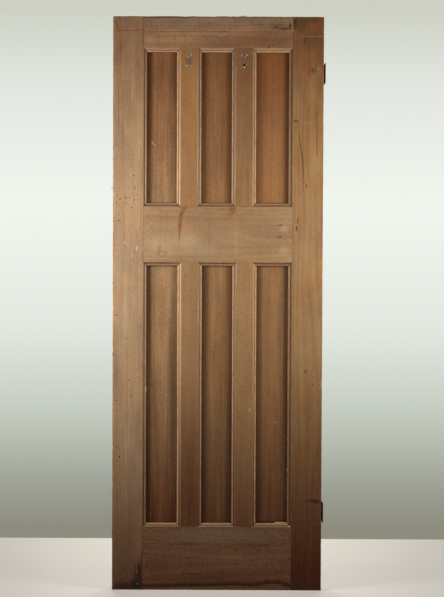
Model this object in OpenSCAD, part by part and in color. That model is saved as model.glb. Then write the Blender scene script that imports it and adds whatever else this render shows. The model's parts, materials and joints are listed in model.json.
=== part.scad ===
// A stripped six-panel door leaf, three panels over three, on a pair of butt hinges.
// Wedged through tenons join the stiles and rails, flat panels stand in grooves,
// and mitred mouldings frame every panel on both faces.
// The hinge pins stand behind the leaf, so that it opens backwards.
// The origin is at the middle of the bottom edge, +Z is up and the front faces -Y.

/* [Leaf] */
// Width of the leaf over both stiles
door_w = 762; // [700:1:920]
// Height of the leaf
door_h = 2083; // [1950:1:2300]
// Thickness of the stiles, rails and muntins
door_t = 44; // [40:0.5:57]

/* [Stiles, rails and muntins] */
// Width of the lock stile, on the left
lock_stile_w = 110.5; // [95:0.5:140]
// Width of the hanging stile, on the right
hanging_stile_w = 110.5; // [95:0.5:140]
// Height of the top rail
top_rail_h = 114; // [100:1:150]
// Height of the middle rail
middle_rail_h = 200; // [160:1:250]
// Height of the bottom rail
bottom_rail_h = 232; // [190:1:300]
// Height of the openings between the bottom and middle rails
lower_opening_h = 964; // [800:0.5:1100]
// Width of each muntin
muntin_w = 62; // [50:1:90]
// Distance by which the right muntins stand to the left of an even share of the width
right_muntin_shift = 3; // [0:0.5:10]
// Distance by which the upper muntins stand to the left of the lower ones
muntin_step = 4; // [0:0.5:8]

/* [Mortise and tenon joints] */
// Width of the panel grooves and of the mortises
groove_w = 13; // [10:0.5:16]
// Depth of the panel grooves
groove_d = 11; // [8:0.5:15]
// Gap on each side of a tenon or a panel in its slot
joint_fit = 0.15; // [0.05:0.05:0.4]
// Distance from a groove to the nearest through tenon
tenon_inset = 4; // [2:0.5:10]
// Distance from the top or bottom edge of the leaf to the nearest through tenon
haunch_h = 40; // [30:1:55]
// Space between the paired tenons of the middle and bottom rails
twin_gap = 54; // [35:1:80]
// Length of the stub tenons at the ends of the muntins
stub_l = 36; // [20:1:45]
// Room beyond the end of a stub tenon
stub_gap = 1; // [0.5:0.5:3]
// Thickness of a tenon wedge at the outer edge of the stile
wedge_h = 5; // [3:0.5:8]
// Length of the flare that a tenon wedge fills
flare_l = 75; // [40:1:85]
// Length of a tenon wedge
wedge_l = 64; // [30:1:74]

/* [Panels and mouldings] */
// Room left for a panel to swell at its sides and top
panel_gap = 1.5; // [0.5:0.5:4]
// Width of the flat lip of a moulding, beside the frame
lip_w = 1.4; // [1:0.1:3]
// Depth of the lip below the face of the frame
lip_set = 0.6; // [0.2:0.1:2]
// Radius of the hollow of a moulding
hollow_r = 4.7; // [3:0.1:6]
// Radius of the bead of a moulding
bead_r = 4.2; // [2.5:0.1:4.5]
// Depth of the crown of the bead below the lip
bead_drop = 1.6; // [0.6:0.1:2.6]
// Opening of the mitres at the corners of a moulding
mitre_gap = 0.6; // [0.2:0.1:1.5]

/* [Hinges] */
// Length of a hinge
hinge_l = 72; // [60:1:90]
// Distance from the top rail down to the upper hinge
upper_hinge_gap = 49; // [5:1:150]
// Distance from the bottom rail up to the lower hinge
lower_hinge_gap = 13; // [5:1:150]
// Width of a hinge leaf, from the axis of the pin to its far edge
leaf_w = 34; // [30:0.5:42]
// Thickness of a hinge leaf
leaf_t = 3; // [2.2:0.1:3.2]
// Space between the two leaves of a shut hinge
leaf_gap = 5; // [3:0.1:5.4]
// Distance from the axis of the pin at which the back of a leaf starts to slope in to its knuckles
swage_w = 8; // [7:0.5:10]
// Depth of that slope
swage_d = 0.8; // [0.4:0.1:1.2]
// Radius of the knuckles
knuckle_r = 5.8; // [5:0.1:8]
// Number of knuckles, shared between the two leaves
knuckle_count = 5; // [3:2:7]
// Space between neighbouring knuckles
knuckle_gap = 0.3; // [0.2:0.05:0.6]
// Clearance round the outside of the knuckles
knuckle_clear = 0.5; // [0.4:0.1:1]
// Radius of the hinge pin
pin_r = 2.7; // [2:0.1:3.2]
// Running clearance round the hinge pin
pin_fit = 0.05; // [0.02:0.01:0.1]
// Radius of the domed heads of the hinge pin
pin_head_r = 4.6; // [3.6:0.1:5]
// Height of the domed heads of the hinge pin
pin_head_h = 1.8; // [1:0.1:3]

/* [Hinge screws] */
// Radius of the screw holes in the hinge leaves
hole_r = 2.5; // [2.4:0.1:3]
// Radius of the countersinks
sink_r = 4.2; // [3.6:0.1:4.5]
// Distance from the ends of a leaf to its outer screw holes
hole_end = 12; // [8:1:16]
// Distance from the far edge of a leaf to the row of screw holes along that edge
edge_row = 9; // [6:0.5:11]
// Distance from the far edge of a leaf to the row of screw holes along the pin
pin_row = 19; // [14:0.5:19]
// Radius of the shank of a screw
shank_r = 2.2; // [1.8:0.1:2.3]
// Length of a screw
screw_l = 32; // [22:1:45]
// Length of the point of a screw
screw_point = 8; // [4:1:12]
// Gap between a screw and its hole
screw_fit = 0.05; // [0.02:0.01:0.15]
// Width of the driver slot
slot_w = 1.1; // [0.8:0.1:1.4]
// Depth of the driver slot
slot_d = 0.9; // [0.5:0.1:1.2]

/* [Hidden] */
$fn = 48;
eps = 0.5;

// Frame lines: x of the stiles' inner edges, z of the rails' edges
left_x = -door_w / 2 + lock_stile_w;
right_x = door_w / 2 - hanging_stile_w;
left_opening_w = (right_x - left_x - 2 * muntin_w) / 3;
centre_opening_w = left_opening_w - right_muntin_shift;
middle_z = bottom_rail_h + lower_opening_h;
middle_top_z = middle_z + middle_rail_h;
top_z = door_h - top_rail_h;

// Slots and the pieces that fit them
slip_t = groove_w - 2 * joint_fit;
panel_bed = groove_d - panel_gap;
core_w = muntin_w - 2 * groove_d;
recess_d = (door_t - slip_t) / 2;

// Heights of the through tenons, as [low, high]
middle_twin_h = (middle_rail_h - 2 * groove_d - 2 * tenon_inset - twin_gap) / 2;
bottom_twin_h = (bottom_rail_h - groove_d - tenon_inset - haunch_h - twin_gap) / 2;
top_tenons = [[top_z + groove_d + tenon_inset, door_h - haunch_h]];
middle_tenons = twin_tenons(middle_z + groove_d + tenon_inset, middle_twin_h);
bottom_tenons = twin_tenons(haunch_h, bottom_twin_h);
all_tenons = concat(top_tenons, middle_tenons, bottom_tenons);

// Section of the mouldings
moulding_w = lip_w + hollow_r + 2 * bead_r;
lip_h = recess_d - lip_set;
ground_h = lip_h - hollow_r;
bead_h = lip_h - bead_drop - bead_r;
mitre_set = mitre_gap / sqrt(2);

// Hinges
axis_x = door_w / 2 + leaf_gap / 2;
axis_y = door_t / 2 + knuckle_r + knuckle_clear;
upper_hinge_z = top_z - upper_hinge_gap - hinge_l / 2;
lower_hinge_z = bottom_rail_h + lower_hinge_gap + hinge_l / 2;
knuckle_pitch = hinge_l / knuckle_count;
barrel_h = hinge_l - knuckle_gap;
dome_r = (pin_head_r ^ 2 + pin_head_h ^ 2) / (2 * pin_head_h);
hole_row_z = barrel_h / 2 - hole_end;
// The rows change places between the leaves, so that facing screw heads don't meet
door_holes = hole_places(leaf_w - edge_row, leaf_w - pin_row);
frame_holes = hole_places(leaf_w - pin_row, leaf_w - edge_row);

// Rows of panel openings, as [name, low, high, distance of the muntins to the left]
upper_row = ["upper", middle_top_z, top_z, muntin_step];
lower_row = ["lower", bottom_rail_h, middle_z, 0];
ROWS = [upper_row, lower_row];
FACES = ["front", "back"];
HINGES = [
    ["upper", upper_hinge_z],
    ["lower", lower_hinge_z]
];
HINGE_PIECES = ["door_leaf", "frame_leaf", "pin", "screws"];

// Left edge of the first or second muntin of a row
function muntin_x(row, i) = left_x + left_opening_w - row[3] + i * (muntin_w + centre_opening_w);

// Muntins of a row, as [name, left edge]
function muntins(row) = [["left", muntin_x(row, 0)], ["right", muntin_x(row, 1)]];

// Openings of a row, as [name, left, right]
function columns(row) = [
    ["left", left_x, muntin_x(row, 0)],
    ["centre", muntin_x(row, 0) + muntin_w, muntin_x(row, 1)],
    ["right", muntin_x(row, 1) + muntin_w, right_x]
];

function muntin_name(row, post) = str(row[0], "_", post[0], "_muntin");
function panel_name(row, column) = str(row[0], "_", column[0], "_panel");
function upright_name(row, column, face) = str(row[0], "_", column[0], "_", face, "_upright_mouldings");
function cross_name(row, column, face) = str(row[0], "_", column[0], "_", face, "_cross_mouldings");
function hinge_name(hinge, piece) = str(hinge[0], "_hinge_", piece);

// Screw holes of a hinge leaf, as [distance from the pin's axis, height]
function hole_places(outer, middle) = [[outer, -hole_row_z], [middle, 0], [outer, hole_row_z]];

// A pair of equal tenons, the lower one starting at z
function twin_tenons(z, h) = [[z, z + h], [z + h + twin_gap, z + 2 * h + twin_gap]];

// A block centred through the thickness of the leaf, from one corner in x and z to the other
module slab(x0, x1, z0, z1, t) {
    translate([x0, -t / 2, z0])
        cube([x1 - x0, t, z1 - z0]);
}

// An outline drawn in x and z, as thick as t and centred through the leaf
module upright_plate(t) {
    rotate([90, 0, 0])
        linear_extrude(t, center = true)
            children();
}

// A through mortise that flares for the wedges, in a stile whose outer edge is at x = 0
module mortise(w, tenon) {
    low = tenon[0] - joint_fit;
    high = tenon[1] + joint_fit;
    spread = wedge_h * (flare_l + eps) / flare_l;
    upright_plate(groove_w)
        polygon([
            [-eps, low - spread], [flare_l, low], [w + eps, low],
            [w + eps, high], [flare_l, high], [-eps, high + spread]
        ]);
}

// A stile with its outer edge at x = 0 and its groove along the inner edge
module stile(w) {
    difference() {
        slab(0, w, 0, door_h, door_t);
        slab(w - groove_d, w + eps, -eps, door_h + eps, groove_w);
        for (tenon = all_tenons)
            mortise(w, tenon);
    }
}

// The two wedges of every through tenon, in a stile whose outer edge is at x = 0
module stile_wedges() {
    tip_h = wedge_h * (1 - wedge_l / flare_l);
    for (tenon = all_tenons) {
        upright_plate(slip_t)
            polygon([
                [0, tenon[0] - wedge_h], [wedge_l, tenon[0] - tip_h],
                [wedge_l, tenon[0]], [0, tenon[0]]
            ]);
        upright_plate(slip_t)
            polygon([
                [0, tenon[1]], [wedge_l, tenon[1]],
                [wedge_l, tenon[1] + tip_h], [0, tenon[1] + wedge_h]
            ]);
    }
}

// A rail with haunches that fill the stiles' grooves, and through tenons;
// below and above list the muntins that stand against it, or are empty at an edge of the leaf
module rail(z0, z1, below, above, tenons) {
    low_cut = len(below) > 0 ? groove_d : 0;
    high_cut = len(above) > 0 ? groove_d : 0;
    haunch_l = groove_d - joint_fit;
    stub_d = stub_l + stub_gap;
    difference() {
        union() {
            slab(left_x, right_x, z0, z1, door_t);
            slab(left_x - haunch_l, right_x + haunch_l, z0 + low_cut, z1 - high_cut, slip_t);
            for (tenon = tenons)
                slab(-door_w / 2, door_w / 2, tenon[0], tenon[1], slip_t);
        }
        if (low_cut > 0)
            slab(left_x - eps, right_x + eps, z0 - eps, z0 + groove_d, groove_w);
        if (high_cut > 0)
            slab(left_x - eps, right_x + eps, z1 - groove_d, z1 + eps, groove_w);
        for (post = below)
            stub_mortise(post, z0 - eps, z0 + stub_d);
        for (post = above)
            stub_mortise(post, z1 - stub_d, z1 + eps);
    }
}

// Room for the stub tenon of a muntin
module stub_mortise(post, z0, z1) {
    x = post[1] + groove_d;
    slab(x - joint_fit, x + core_w + joint_fit, z0, z1, groove_w);
}

// A muntin grooved along both edges, with a stub tenon at each end
module muntin(row, post) {
    x = post[1];
    core_x = x + groove_d;
    color("#9a7148") {
        difference() {
            slab(x, x + muntin_w, row[1], row[2], door_t);
            slab(x - eps, core_x, row[1] - eps, row[2] + eps, groove_w);
            slab(core_x + core_w, x + muntin_w + eps, row[1] - eps, row[2] + eps, groove_w);
        }
        slab(core_x, core_x + core_w, row[1] - stub_l, row[2] + stub_l, slip_t);
    }
}

// A flat panel that stands on the groove below it and has room at its sides and top
module panel(row, column) {
    color("#8f6741")
        slab(column[1] - panel_bed, column[2] + panel_bed,
            row[1] - groove_d + joint_fit, row[2] + panel_bed, slip_t);
}

// Section of a moulding: x runs away from the panel, y from the frame towards the middle
module moulding_section() {
    rotate(90) {
        square([moulding_w - bead_r, ground_h]);
        square([moulding_w, bead_h]);
        translate([moulding_w - bead_r, bead_h])
            circle(bead_r);
        difference() {
            square([lip_w + hollow_r, lip_h]);
            translate([lip_w + hollow_r, lip_h])
                circle(hollow_r);
        }
    }
}

// One mitred length along +X, with the frame below it and the panel's face at y = 0
module moulding_length(l) {
    intersection() {
        rotate([90, 0, 90])
            linear_extrude(l)
                moulding_section();
        rotate([90, 0, 0])
            linear_extrude(recess_d)
                polygon([
                    [mitre_set, 0], [l - mitre_set, 0],
                    [l - mitre_set - moulding_w, moulding_w], [mitre_set + moulding_w, moulding_w]
                ]);
    }
}

// Sets a front moulding on the panel's face, or mirrors it to the back of the leaf
module on_face(face) {
    mirror([0, face == "back" ? 1 : 0, 0])
        translate([0, -slip_t / 2, 0])
            children();
}

module upright_mouldings(row, column, face) {
    l = row[2] - row[1];
    color("#b08a60") on_face(face) {
        translate([column[2], 0, row[1]])
            rotate([0, -90, 0])
                moulding_length(l);
        translate([column[1], 0, row[2]])
            rotate([0, 90, 0])
                moulding_length(l);
    }
}

module cross_mouldings(row, column, face) {
    l = column[2] - column[1];
    color("#a98259") on_face(face) {
        translate([column[1], 0, row[1]])
            moulding_length(l);
        translate([column[2], 0, row[2]])
            rotate([0, 180, 0])
                moulding_length(l);
    }
}

// Places a hinge behind the leaf; its own frame has the pin's axis along z and the leaves towards +y
module at_hinge(hinge) {
    translate([axis_x, axis_y, hinge[1]])
        mirror([0, 1, 0])
            children();
}

// One knuckle, or the room round it
module knuckle(i, r, h) {
    translate([0, 0, (i + 0.5) * knuckle_pitch - hinge_l / 2])
        cylinder(r = r, h = h, center = true);
}

// A screw hole through the leaf, countersunk on the side towards the other leaf
module screw_hole(hole) {
    sink_d = sink_r - hole_r;
    translate([leaf_gap / 2, hole[0], hole[1]])
        rotate([0, 90, 0]) {
            cylinder(r1 = sink_r, r2 = hole_r, h = sink_d);
            translate([0, 0, -eps])
                cylinder(r = hole_r, h = leaf_t + 2 * eps);
        }
}

// The plate of a leaf, swaged in beside the knuckles
module leaf_plate() {
    inner = leaf_gap / 2;
    outer = inner + leaf_t;
    linear_extrude(barrel_h, center = true)
        polygon([
            [inner, 0], [outer - swage_d, 0], [outer - swage_d, knuckle_r],
            [outer, swage_w], [outer, leaf_w], [inner, leaf_w]
        ]);
}

// A leaf on the +x side of the pin, with every other knuckle from the first one
module hinge_leaf(first, holes) {
    difference() {
        union() {
            leaf_plate();
            for (i = [first : 2 : knuckle_count - 1])
                knuckle(i, knuckle_r, knuckle_pitch - knuckle_gap);
        }
        for (i = [1 - first : 2 : knuckle_count - 1])
            knuckle(i, knuckle_r + knuckle_clear, knuckle_pitch + knuckle_gap);
        cylinder(r = pin_r + pin_fit, h = hinge_l + 2 * eps, center = true);
        for (hole = holes)
            screw_hole(hole);
    }
}

module pin_head() {
    rotate_extrude()
        intersection() {
            square([pin_head_r, pin_head_h]);
            translate([0, pin_head_h - dome_r])
                circle(dome_r);
        }
}

// A slotted countersunk wood screw along +z, with the top of its head at z = 0
module wood_screw() {
    head_r = sink_r - screw_fit;
    difference() {
        rotate_extrude()
            polygon([
                [0, 0], [head_r, 0], [shank_r, head_r - shank_r],
                [shank_r, screw_l - screw_point], [0, screw_l]
            ]);
        translate([-head_r - eps, -slot_w / 2, -eps])
            cube([2 * (head_r + eps), slot_w, slot_d + eps]);
    }
}

module leaf_screws() {
    for (hole = door_holes)
        translate([leaf_gap / 2, hole[0], hole[1]])
            rotate([0, 90, 0])
                wood_screw();
}

// The bed for a hinge leaf in the edge of the stile, and the holes for its screws
module hinge_bed() {
    translate([leaf_gap / 2 - eps, -eps, -hinge_l / 2])
        cube([leaf_t + eps, leaf_w + joint_fit + eps, hinge_l]);
    for (hole = door_holes)
        translate([leaf_gap / 2, hole[0], hole[1]])
            rotate([0, 90, 0])
                cylinder(r = shank_r + screw_fit, h = screw_l + stub_gap);
}

module lock_stile() {
    color("#b3916c")
        translate([-door_w / 2, 0, 0])
            stile(lock_stile_w);
}

module hanging_stile() {
    color("#a17c55")
        difference() {
            translate([door_w / 2, 0, 0])
                mirror([1, 0, 0])
                    stile(hanging_stile_w);
            for (hinge = HINGES)
                at_hinge(hinge)
                    mirror([1, 0, 0])
                        hinge_bed();
        }
}

module top_rail() {
    color("#8a6a4c")
        rail(top_z, door_h, muntins(upper_row), [], top_tenons);
}

module middle_rail() {
    color("#a5835e")
        rail(middle_z, middle_top_z, muntins(lower_row), muntins(upper_row), middle_tenons);
}

module bottom_rail() {
    color("#6b4c33")
        rail(0, bottom_rail_h, [], muntins(lower_row), bottom_tenons);
}

module lock_stile_wedges() {
    color("#7c5a3c")
        translate([-door_w / 2, 0, 0])
            stile_wedges();
}

module hanging_stile_wedges() {
    color("#7c5a3c")
        translate([door_w / 2, 0, 0])
            mirror([1, 0, 0])
                stile_wedges();
}

module hinge_door_leaf(hinge) {
    color("#43322a")
        at_hinge(hinge)
            mirror([1, 0, 0])
                hinge_leaf(1, door_holes);
}

module hinge_frame_leaf(hinge) {
    color("#3d2c24")
        at_hinge(hinge)
            hinge_leaf(0, frame_holes);
}

module hinge_pin(hinge) {
    color("#4a3a30")
        at_hinge(hinge) {
            cylinder(r = pin_r, h = barrel_h, center = true);
            translate([0, 0, barrel_h / 2])
                pin_head();
            mirror([0, 0, 1])
                translate([0, 0, barrel_h / 2])
                    pin_head();
        }
}

module hinge_screws(hinge) {
    color("#5b5048")
        at_hinge(hinge)
            mirror([1, 0, 0])
                leaf_screws();
}

lock_stile();
hanging_stile();
top_rail();
middle_rail();
bottom_rail();
lock_stile_wedges();
hanging_stile_wedges();
for (row = ROWS) {
    for (post = muntins(row))
        muntin(row, post);
    for (column = columns(row)) {
        panel(row, column);
        for (face = FACES) {
            upright_mouldings(row, column, face);
            cross_mouldings(row, column, face);
        }
    }
}
for (hinge = HINGES) {
    hinge_door_leaf(hinge);
    hinge_frame_leaf(hinge);
    hinge_pin(hinge);
    hinge_screws(hinge);
}
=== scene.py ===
"""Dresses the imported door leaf: stripped pine boards, mitred mouldings and rusty butt hinges."""

import json
import math

import bmesh
import bpy
from mathutils import Matrix, Vector, noise

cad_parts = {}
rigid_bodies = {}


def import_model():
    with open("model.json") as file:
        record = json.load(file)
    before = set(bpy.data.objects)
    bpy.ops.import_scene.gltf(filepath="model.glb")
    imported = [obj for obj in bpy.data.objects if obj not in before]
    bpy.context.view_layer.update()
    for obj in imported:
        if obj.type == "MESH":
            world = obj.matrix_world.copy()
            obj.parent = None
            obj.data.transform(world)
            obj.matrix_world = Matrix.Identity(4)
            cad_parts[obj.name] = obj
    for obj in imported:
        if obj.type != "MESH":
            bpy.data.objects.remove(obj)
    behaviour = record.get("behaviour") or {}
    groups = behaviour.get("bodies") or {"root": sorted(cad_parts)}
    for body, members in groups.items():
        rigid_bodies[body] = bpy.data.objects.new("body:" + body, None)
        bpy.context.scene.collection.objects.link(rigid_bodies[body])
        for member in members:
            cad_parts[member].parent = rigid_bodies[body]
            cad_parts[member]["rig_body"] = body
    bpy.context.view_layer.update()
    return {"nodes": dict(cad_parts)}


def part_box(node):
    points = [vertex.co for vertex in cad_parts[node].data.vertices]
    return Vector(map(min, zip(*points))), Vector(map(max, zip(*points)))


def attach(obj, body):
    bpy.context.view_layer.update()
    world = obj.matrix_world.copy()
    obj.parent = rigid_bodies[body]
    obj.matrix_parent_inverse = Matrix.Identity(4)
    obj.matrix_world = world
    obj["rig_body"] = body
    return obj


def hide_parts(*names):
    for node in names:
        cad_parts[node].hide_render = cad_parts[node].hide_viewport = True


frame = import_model()

MM = 0.001
ROWS = ("upper", "lower")
COLUMNS = ("left", "centre", "right")
FACES = ("front", "back")
STILES = ("lock_stile", "hanging_stile")
RAILS = ("top_rail", "middle_rail", "bottom_rail")
MUNTINS = tuple(f"{row}_{side}_muntin" for row in ROWS for side in ("left", "right"))

# The frame's own lines: faces of the leaf and of the panels, edges of the six openings
DOOR_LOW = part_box("lock_stile")[0]
DOOR_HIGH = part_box("hanging_stile")[1]
FACE_Y = DOOR_HIGH.y
PANEL_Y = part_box("upper_left_panel")[1].y
OPENING_X = {}
for row_name in ROWS:
    left_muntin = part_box(f"{row_name}_left_muntin")
    right_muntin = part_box(f"{row_name}_right_muntin")
    OPENING_X[row_name] = {
        "left": (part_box("lock_stile")[1].x, left_muntin[0].x),
        "centre": (left_muntin[1].x, right_muntin[0].x),
        "right": (right_muntin[1].x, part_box("hanging_stile")[0].x),
    }
OPENING_Z = {
    "upper": (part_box("middle_rail")[1].z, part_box("top_rail")[0].z),
    "lower": (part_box("bottom_rail")[1].z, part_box("middle_rail")[0].z),
}

# Section of the mouldings: that of the solids after years of scraping; the hollow is coloured as old finish
# and painted shade
LIP_W = 1.4 * MM
LIP_SET = 0.6 * MM
HOLLOW_W = 4.2 * MM
HOLLOW_DEPTH = 2.8 * MM
BEAD_R = 3.5 * MM
BEAD_DROP = 1.6 * MM
MITRE_GAP = 0.6 * MM
MOULDING_W = LIP_W + HOLLOW_W + 2 * BEAD_R
LIP_H = FACE_Y - PANEL_Y - LIP_SET
# How wide the planes left each length, as a share: right and left uprights, bottom and top cross lengths
UPRIGHT_SPREAD = {"left": (1.16, 0.92), "centre": (1.06, 0.98), "right": (1.18, 1.0)}
CROSS_SPREAD = {"upper": (1.06, 1.18), "lower": (1.0, 1.12)}
# How dark each length is painted, in the same order: old finish and dirt, and painted shade on the lengths
# that face away from the nearer lamp
UPRIGHT_SOIL_AND_SHADE = {"left": (0.0, 0.5), "centre": (0.3, 0.35), "right": (0.8, 0.15)}
CROSS_SOIL_AND_SHADE = {"upper": (0.75, 0.15), "lower": (0.05, 0.85)}
# How far out from the upright mouldings the panels are darkened: painted shade of the mouldings, with some
# dirt
EDGE_DIRT_AND_SHADE_START = 9 * MM
EDGE_DIRT_AND_SHADE_END = 38 * MM
EDGE_DIRT_AND_SHADE_SWAY = 12 * MM
MOULDING_STEP = 5 * MM
MOULDING_WEAR = 1.4 * MM
# What each point of a moulding knows: share of the width, height, how soiled and shaded it is painted, and
# way to the mitre
MOULDING_VALUES = ("across", "height", "soil_and_shade", "to_end")

# Wear of the woodwork
OUTER_ARRIS = 1.8 * MM
INNER_ARRIS = 0.8 * MM
JOINT_ARRIS = 0.4 * MM
TORN_TOP = 1.7 * MM
SLICE = 7 * MM
PLANK_STRIP = 24 * MM
CHIP_LENGTH = 26 * MM
CHIP_DEPTH = 3.2 * MM
RAGGED_LENGTH = 9 * MM
RAGGED_DEPTH = 0.8 * MM
TEAR_LENGTH = 15 * MM
WAVE_LENGTH = 70 * MM
WAVE_DEPTH = 0.25 * MM
PANEL_WAVE_LENGTH = 30 * MM
PANEL_WAVE_DEPTH = 0.35 * MM
FOOT_HOLLOW = 2.0 * MM
BORE_LENGTH = 22 * MM
RING_SPACING = 4.5 * MM
RUST_SCALE = 0.08 * MM
RUST_PIT = 0.35 * MM
# Lines on the front are given in mm
WINDING_STEP = 9
CRACK_JAG = 1.2
# When corners count as one, and faces as flat
WELD = 0.01 * MM
FLAT_ANGLE = math.radians(1)


def tone(red, green, blue):
    """A colour written as 0 to 255, as the linear colour that a shader takes."""
    def linear(value):
        share = value / 255
        return share / 12.92 if share <= 0.04045 else ((share + 0.055) / 1.055) ** 2.4
    return (linear(red), linear(green), linear(blue), 1.0)


# Colours of the wood, the iron and what has soaked in or been left on them
BLACK_MOULD = tone(38, 22, 12)
DARK_STAIN = tone(84, 52, 30)
RED_DIRT = tone(112, 62, 34)
FOOT_TINT = (0.285, 0.11, 0.06, 1.0)
HEAD_TINT = (0.73, 0.435, 0.29, 1.0)
WARM_TINT = (1.0, 0.86, 0.66, 1.0)
# Darkens panels beside their upright mouldings: painted shade with some dirt
EDGE_DIRT_AND_SHADE_TINT = (0.22, 0.15, 0.11, 1.0)
# Multiplied over moulding lengths by their value: old finish and dirt, and painted shade
SOIL_AND_SHADE_TINT = (0.55, 0.50, 0.46, 1.0)
FOOT_REACH = (0.85, 0.0)
HEAD_REACH = (1.55, 2.05)
PANEL_HEAD_REACH = (1.3, 2.0)
# Old finish in the moulding hollows, also standing for painted shade there
OLD_FINISH_AND_SHADE = tone(104, 66, 38)
UMBER = tone(88, 60, 38)
CLEAN_PINE = tone(196, 144, 88)
RUN_BROWN = tone(142, 90, 52)
GREY_PATINA = tone(150, 128, 106)
HOLE_HALO = tone(118, 94, 78)
RUBBED_PINE = tone(200, 158, 116)
BARE_PINE = tone(222, 180, 138)
PALE_PINE = tone(200, 172, 138)
CHALK = tone(222, 210, 194)
CRACK_SHADE = tone(46, 27, 16)
RED_BROWN = tone(72, 38, 22)


class Sheet:
    """Writes nodes into one tree, one short call for each."""

    def __init__(self, tree):
        self.tree = tree

    def feed(self, node, inputs):
        """Links each named input of a node to a socket, or sets it to a plain value."""
        for name, value in inputs.items():
            if isinstance(value, bpy.types.NodeSocket):
                self.tree.links.new(value, node.inputs[name])
            else:
                node.inputs[name].default_value = value

    def add(self, kind, inputs=None, **settings):
        made = self.tree.nodes.new(kind)
        for name, value in settings.items():
            setattr(made, name, value)
        self.feed(made, inputs or {})
        return made

    def first(self, kind, inputs=None, **settings):
        """What a new node gives at its first output."""
        return self.add(kind, inputs, **settings).outputs[0]

    def math(self, operation, *values):
        return self.first("ShaderNodeMath", dict(enumerate(values)), operation=operation)

    def times(self, value, *factors):
        for factor in factors:
            value = self.math("MULTIPLY", value, factor)
        return value

    def times_plus(self, value, factor, addend):
        return self.math("MULTIPLY_ADD", value, factor, addend)

    def minus(self, value, other):
        return self.math("SUBTRACT", value, other)

    def vector(self, operation, *values):
        made = self.add("ShaderNodeVectorMath", dict(enumerate(values)), operation=operation)
        return made.outputs["Value" if operation in ("LENGTH", "DOT_PRODUCT") else "Vector"]

    def stretched(self, vector, factors):
        return self.vector("MULTIPLY", vector, factors)

    def scaled(self, vector, factor):
        return self.first("ShaderNodeVectorMath", {0: vector, "Scale": factor}, operation="SCALE")

    def noise(self, vector, scale=1.0, detail=2.0, roughness=0.5, output="Fac"):
        made = self.add("ShaderNodeTexNoise", {
            "Vector": vector, "Scale": scale, "Detail": detail, "Roughness": roughness})
        return made.outputs[output]

    def shake(self, vector, scale=1.0, detail=2.0):
        """A vector of noise that swings round zero."""
        return self.vector("SUBTRACT", self.noise(vector, scale, detail, output="Color"), (0.5, 0.5, 0.5))

    def ease(self, value, start, end, low=0.0, high=1.0):
        """A smooth change from low to high while the value goes from start to end."""
        made = self.add("ShaderNodeMapRange", {
            "Value": value, "From Min": start, "From Max": end, "To Min": low, "To Max": high},
            interpolation_type="SMOOTHSTEP")
        return made.outputs["Result"]

    def mix(self, share, first, second, blend="MIX"):
        made = self.add("ShaderNodeMix", {0: share, 6: first, 7: second}, data_type="RGBA", blend_type=blend)
        return made.outputs[2]

    def split(self, vector):
        return self.add("ShaderNodeSeparateXYZ", {0: vector}).outputs

    def joined(self, x, y, z):
        return self.first("ShaderNodeCombineXYZ", {0: x, 1: y, 2: z})

    def attribute(self, name):
        return self.add("ShaderNodeAttribute", attribute_name=name).outputs["Fac"]

    def place(self):
        """Where on the object a point lies."""
        return self.add("ShaderNodeTexCoord").outputs["Object"]


def new_group(name, kind, inputs, outputs):
    """An empty node group with named sockets, what it is given, and the node that takes its results."""
    tree = bpy.data.node_groups.new(name, kind)
    for direction, sockets in (("INPUT", inputs), ("OUTPUT", outputs)):
        for label, socket in sockets:
            tree.interface.new_socket(label, in_out=direction, socket_type="NodeSocket" + socket)
    return Sheet(tree), tree.nodes.new("NodeGroupInput").outputs, tree.nodes.new("NodeGroupOutput")


# Patterns of a board: whether they bend with the grain, how they are stretched, their detail and roughness
PINE_PATTERNS = {
    "Streak": (True, (85, 85, 2.6), 5, 0.65),
    "Band": (True, (20, 20, 1.3), 3, 0.55),
    "Fibre": (False, (420, 420, 9), 3, 0.5),
    "Mottle": (False, (13, 13, 5), 6, 0.62),
    "Grit": (False, (330, 330, 170), 2, 0.5),
    "Speckle": (False, (190, 190, 120), 3, 0.6),
}


def pine_figure_group():
    """Growth rings, streaks, fibres and mottling of a board whose grain runs along z."""
    sheet, given, result = new_group(
        "Pine figure", "ShaderNodeTree",
        [("Vector", "Vector"), ("Heart", "Vector"), ("Ring Spacing", "Float")],
        [(name, "Float") for name in ("Ring", *PINE_PATTERNS)])
    place = given["Vector"]
    sway = sheet.stretched(sheet.shake(sheet.stretched(place, (5, 5, 0.8))), (0.03, 0.03, 0))
    bent = sheet.vector("ADD", place, sway)
    from_heart = sheet.stretched(sheet.vector("SUBTRACT", bent, given["Heart"]), (1, 1, 0))
    years = sheet.math("DIVIDE", sheet.vector("LENGTH", from_heart), given["Ring Spacing"])
    season = sheet.math("FRACT", years)
    late_wood = sheet.times(sheet.ease(season, 0.15, 0.85), sheet.ease(season, 1.0, 0.92))
    sheet.feed(result, {"Ring": late_wood})
    for name, (bends, factors, detail, roughness) in PINE_PATTERNS.items():
        spread = sheet.stretched(bent if bends else place, factors)
        sheet.feed(result, {name: sheet.noise(spread, detail=detail, roughness=roughness)})
    return sheet.tree


def spot_group(name, mask_of):
    """A mark round a centre, masked by how far out each point lies."""
    sheet, given, result = new_group(
        name, "ShaderNodeTree",
        [("Vector", "Vector"), ("Centre", "Vector"), ("Reach", "Vector"), ("Edge", "Float")],
        [("Mask", "Float")])
    away = sheet.vector("DIVIDE", sheet.vector("SUBTRACT", given["Vector"], given["Centre"]), given["Reach"])
    sheet.feed(result, {"Mask": mask_of(sheet, sheet.vector("LENGTH", away), given["Edge"])})
    return sheet.tree


def soft_edge(sheet, out, softness):
    """1 inside the reach, 0 outside."""
    return sheet.ease(out, 1.0, sheet.minus(1.0, softness))


def rim(sheet, out, thickness):
    """1 along the edge of the reach, 0 inside and outside."""
    off_rim = sheet.math("ABSOLUTE", sheet.minus(out, 1.0))
    return sheet.ease(off_rim, thickness, sheet.times(thickness, 0.3))


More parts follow.
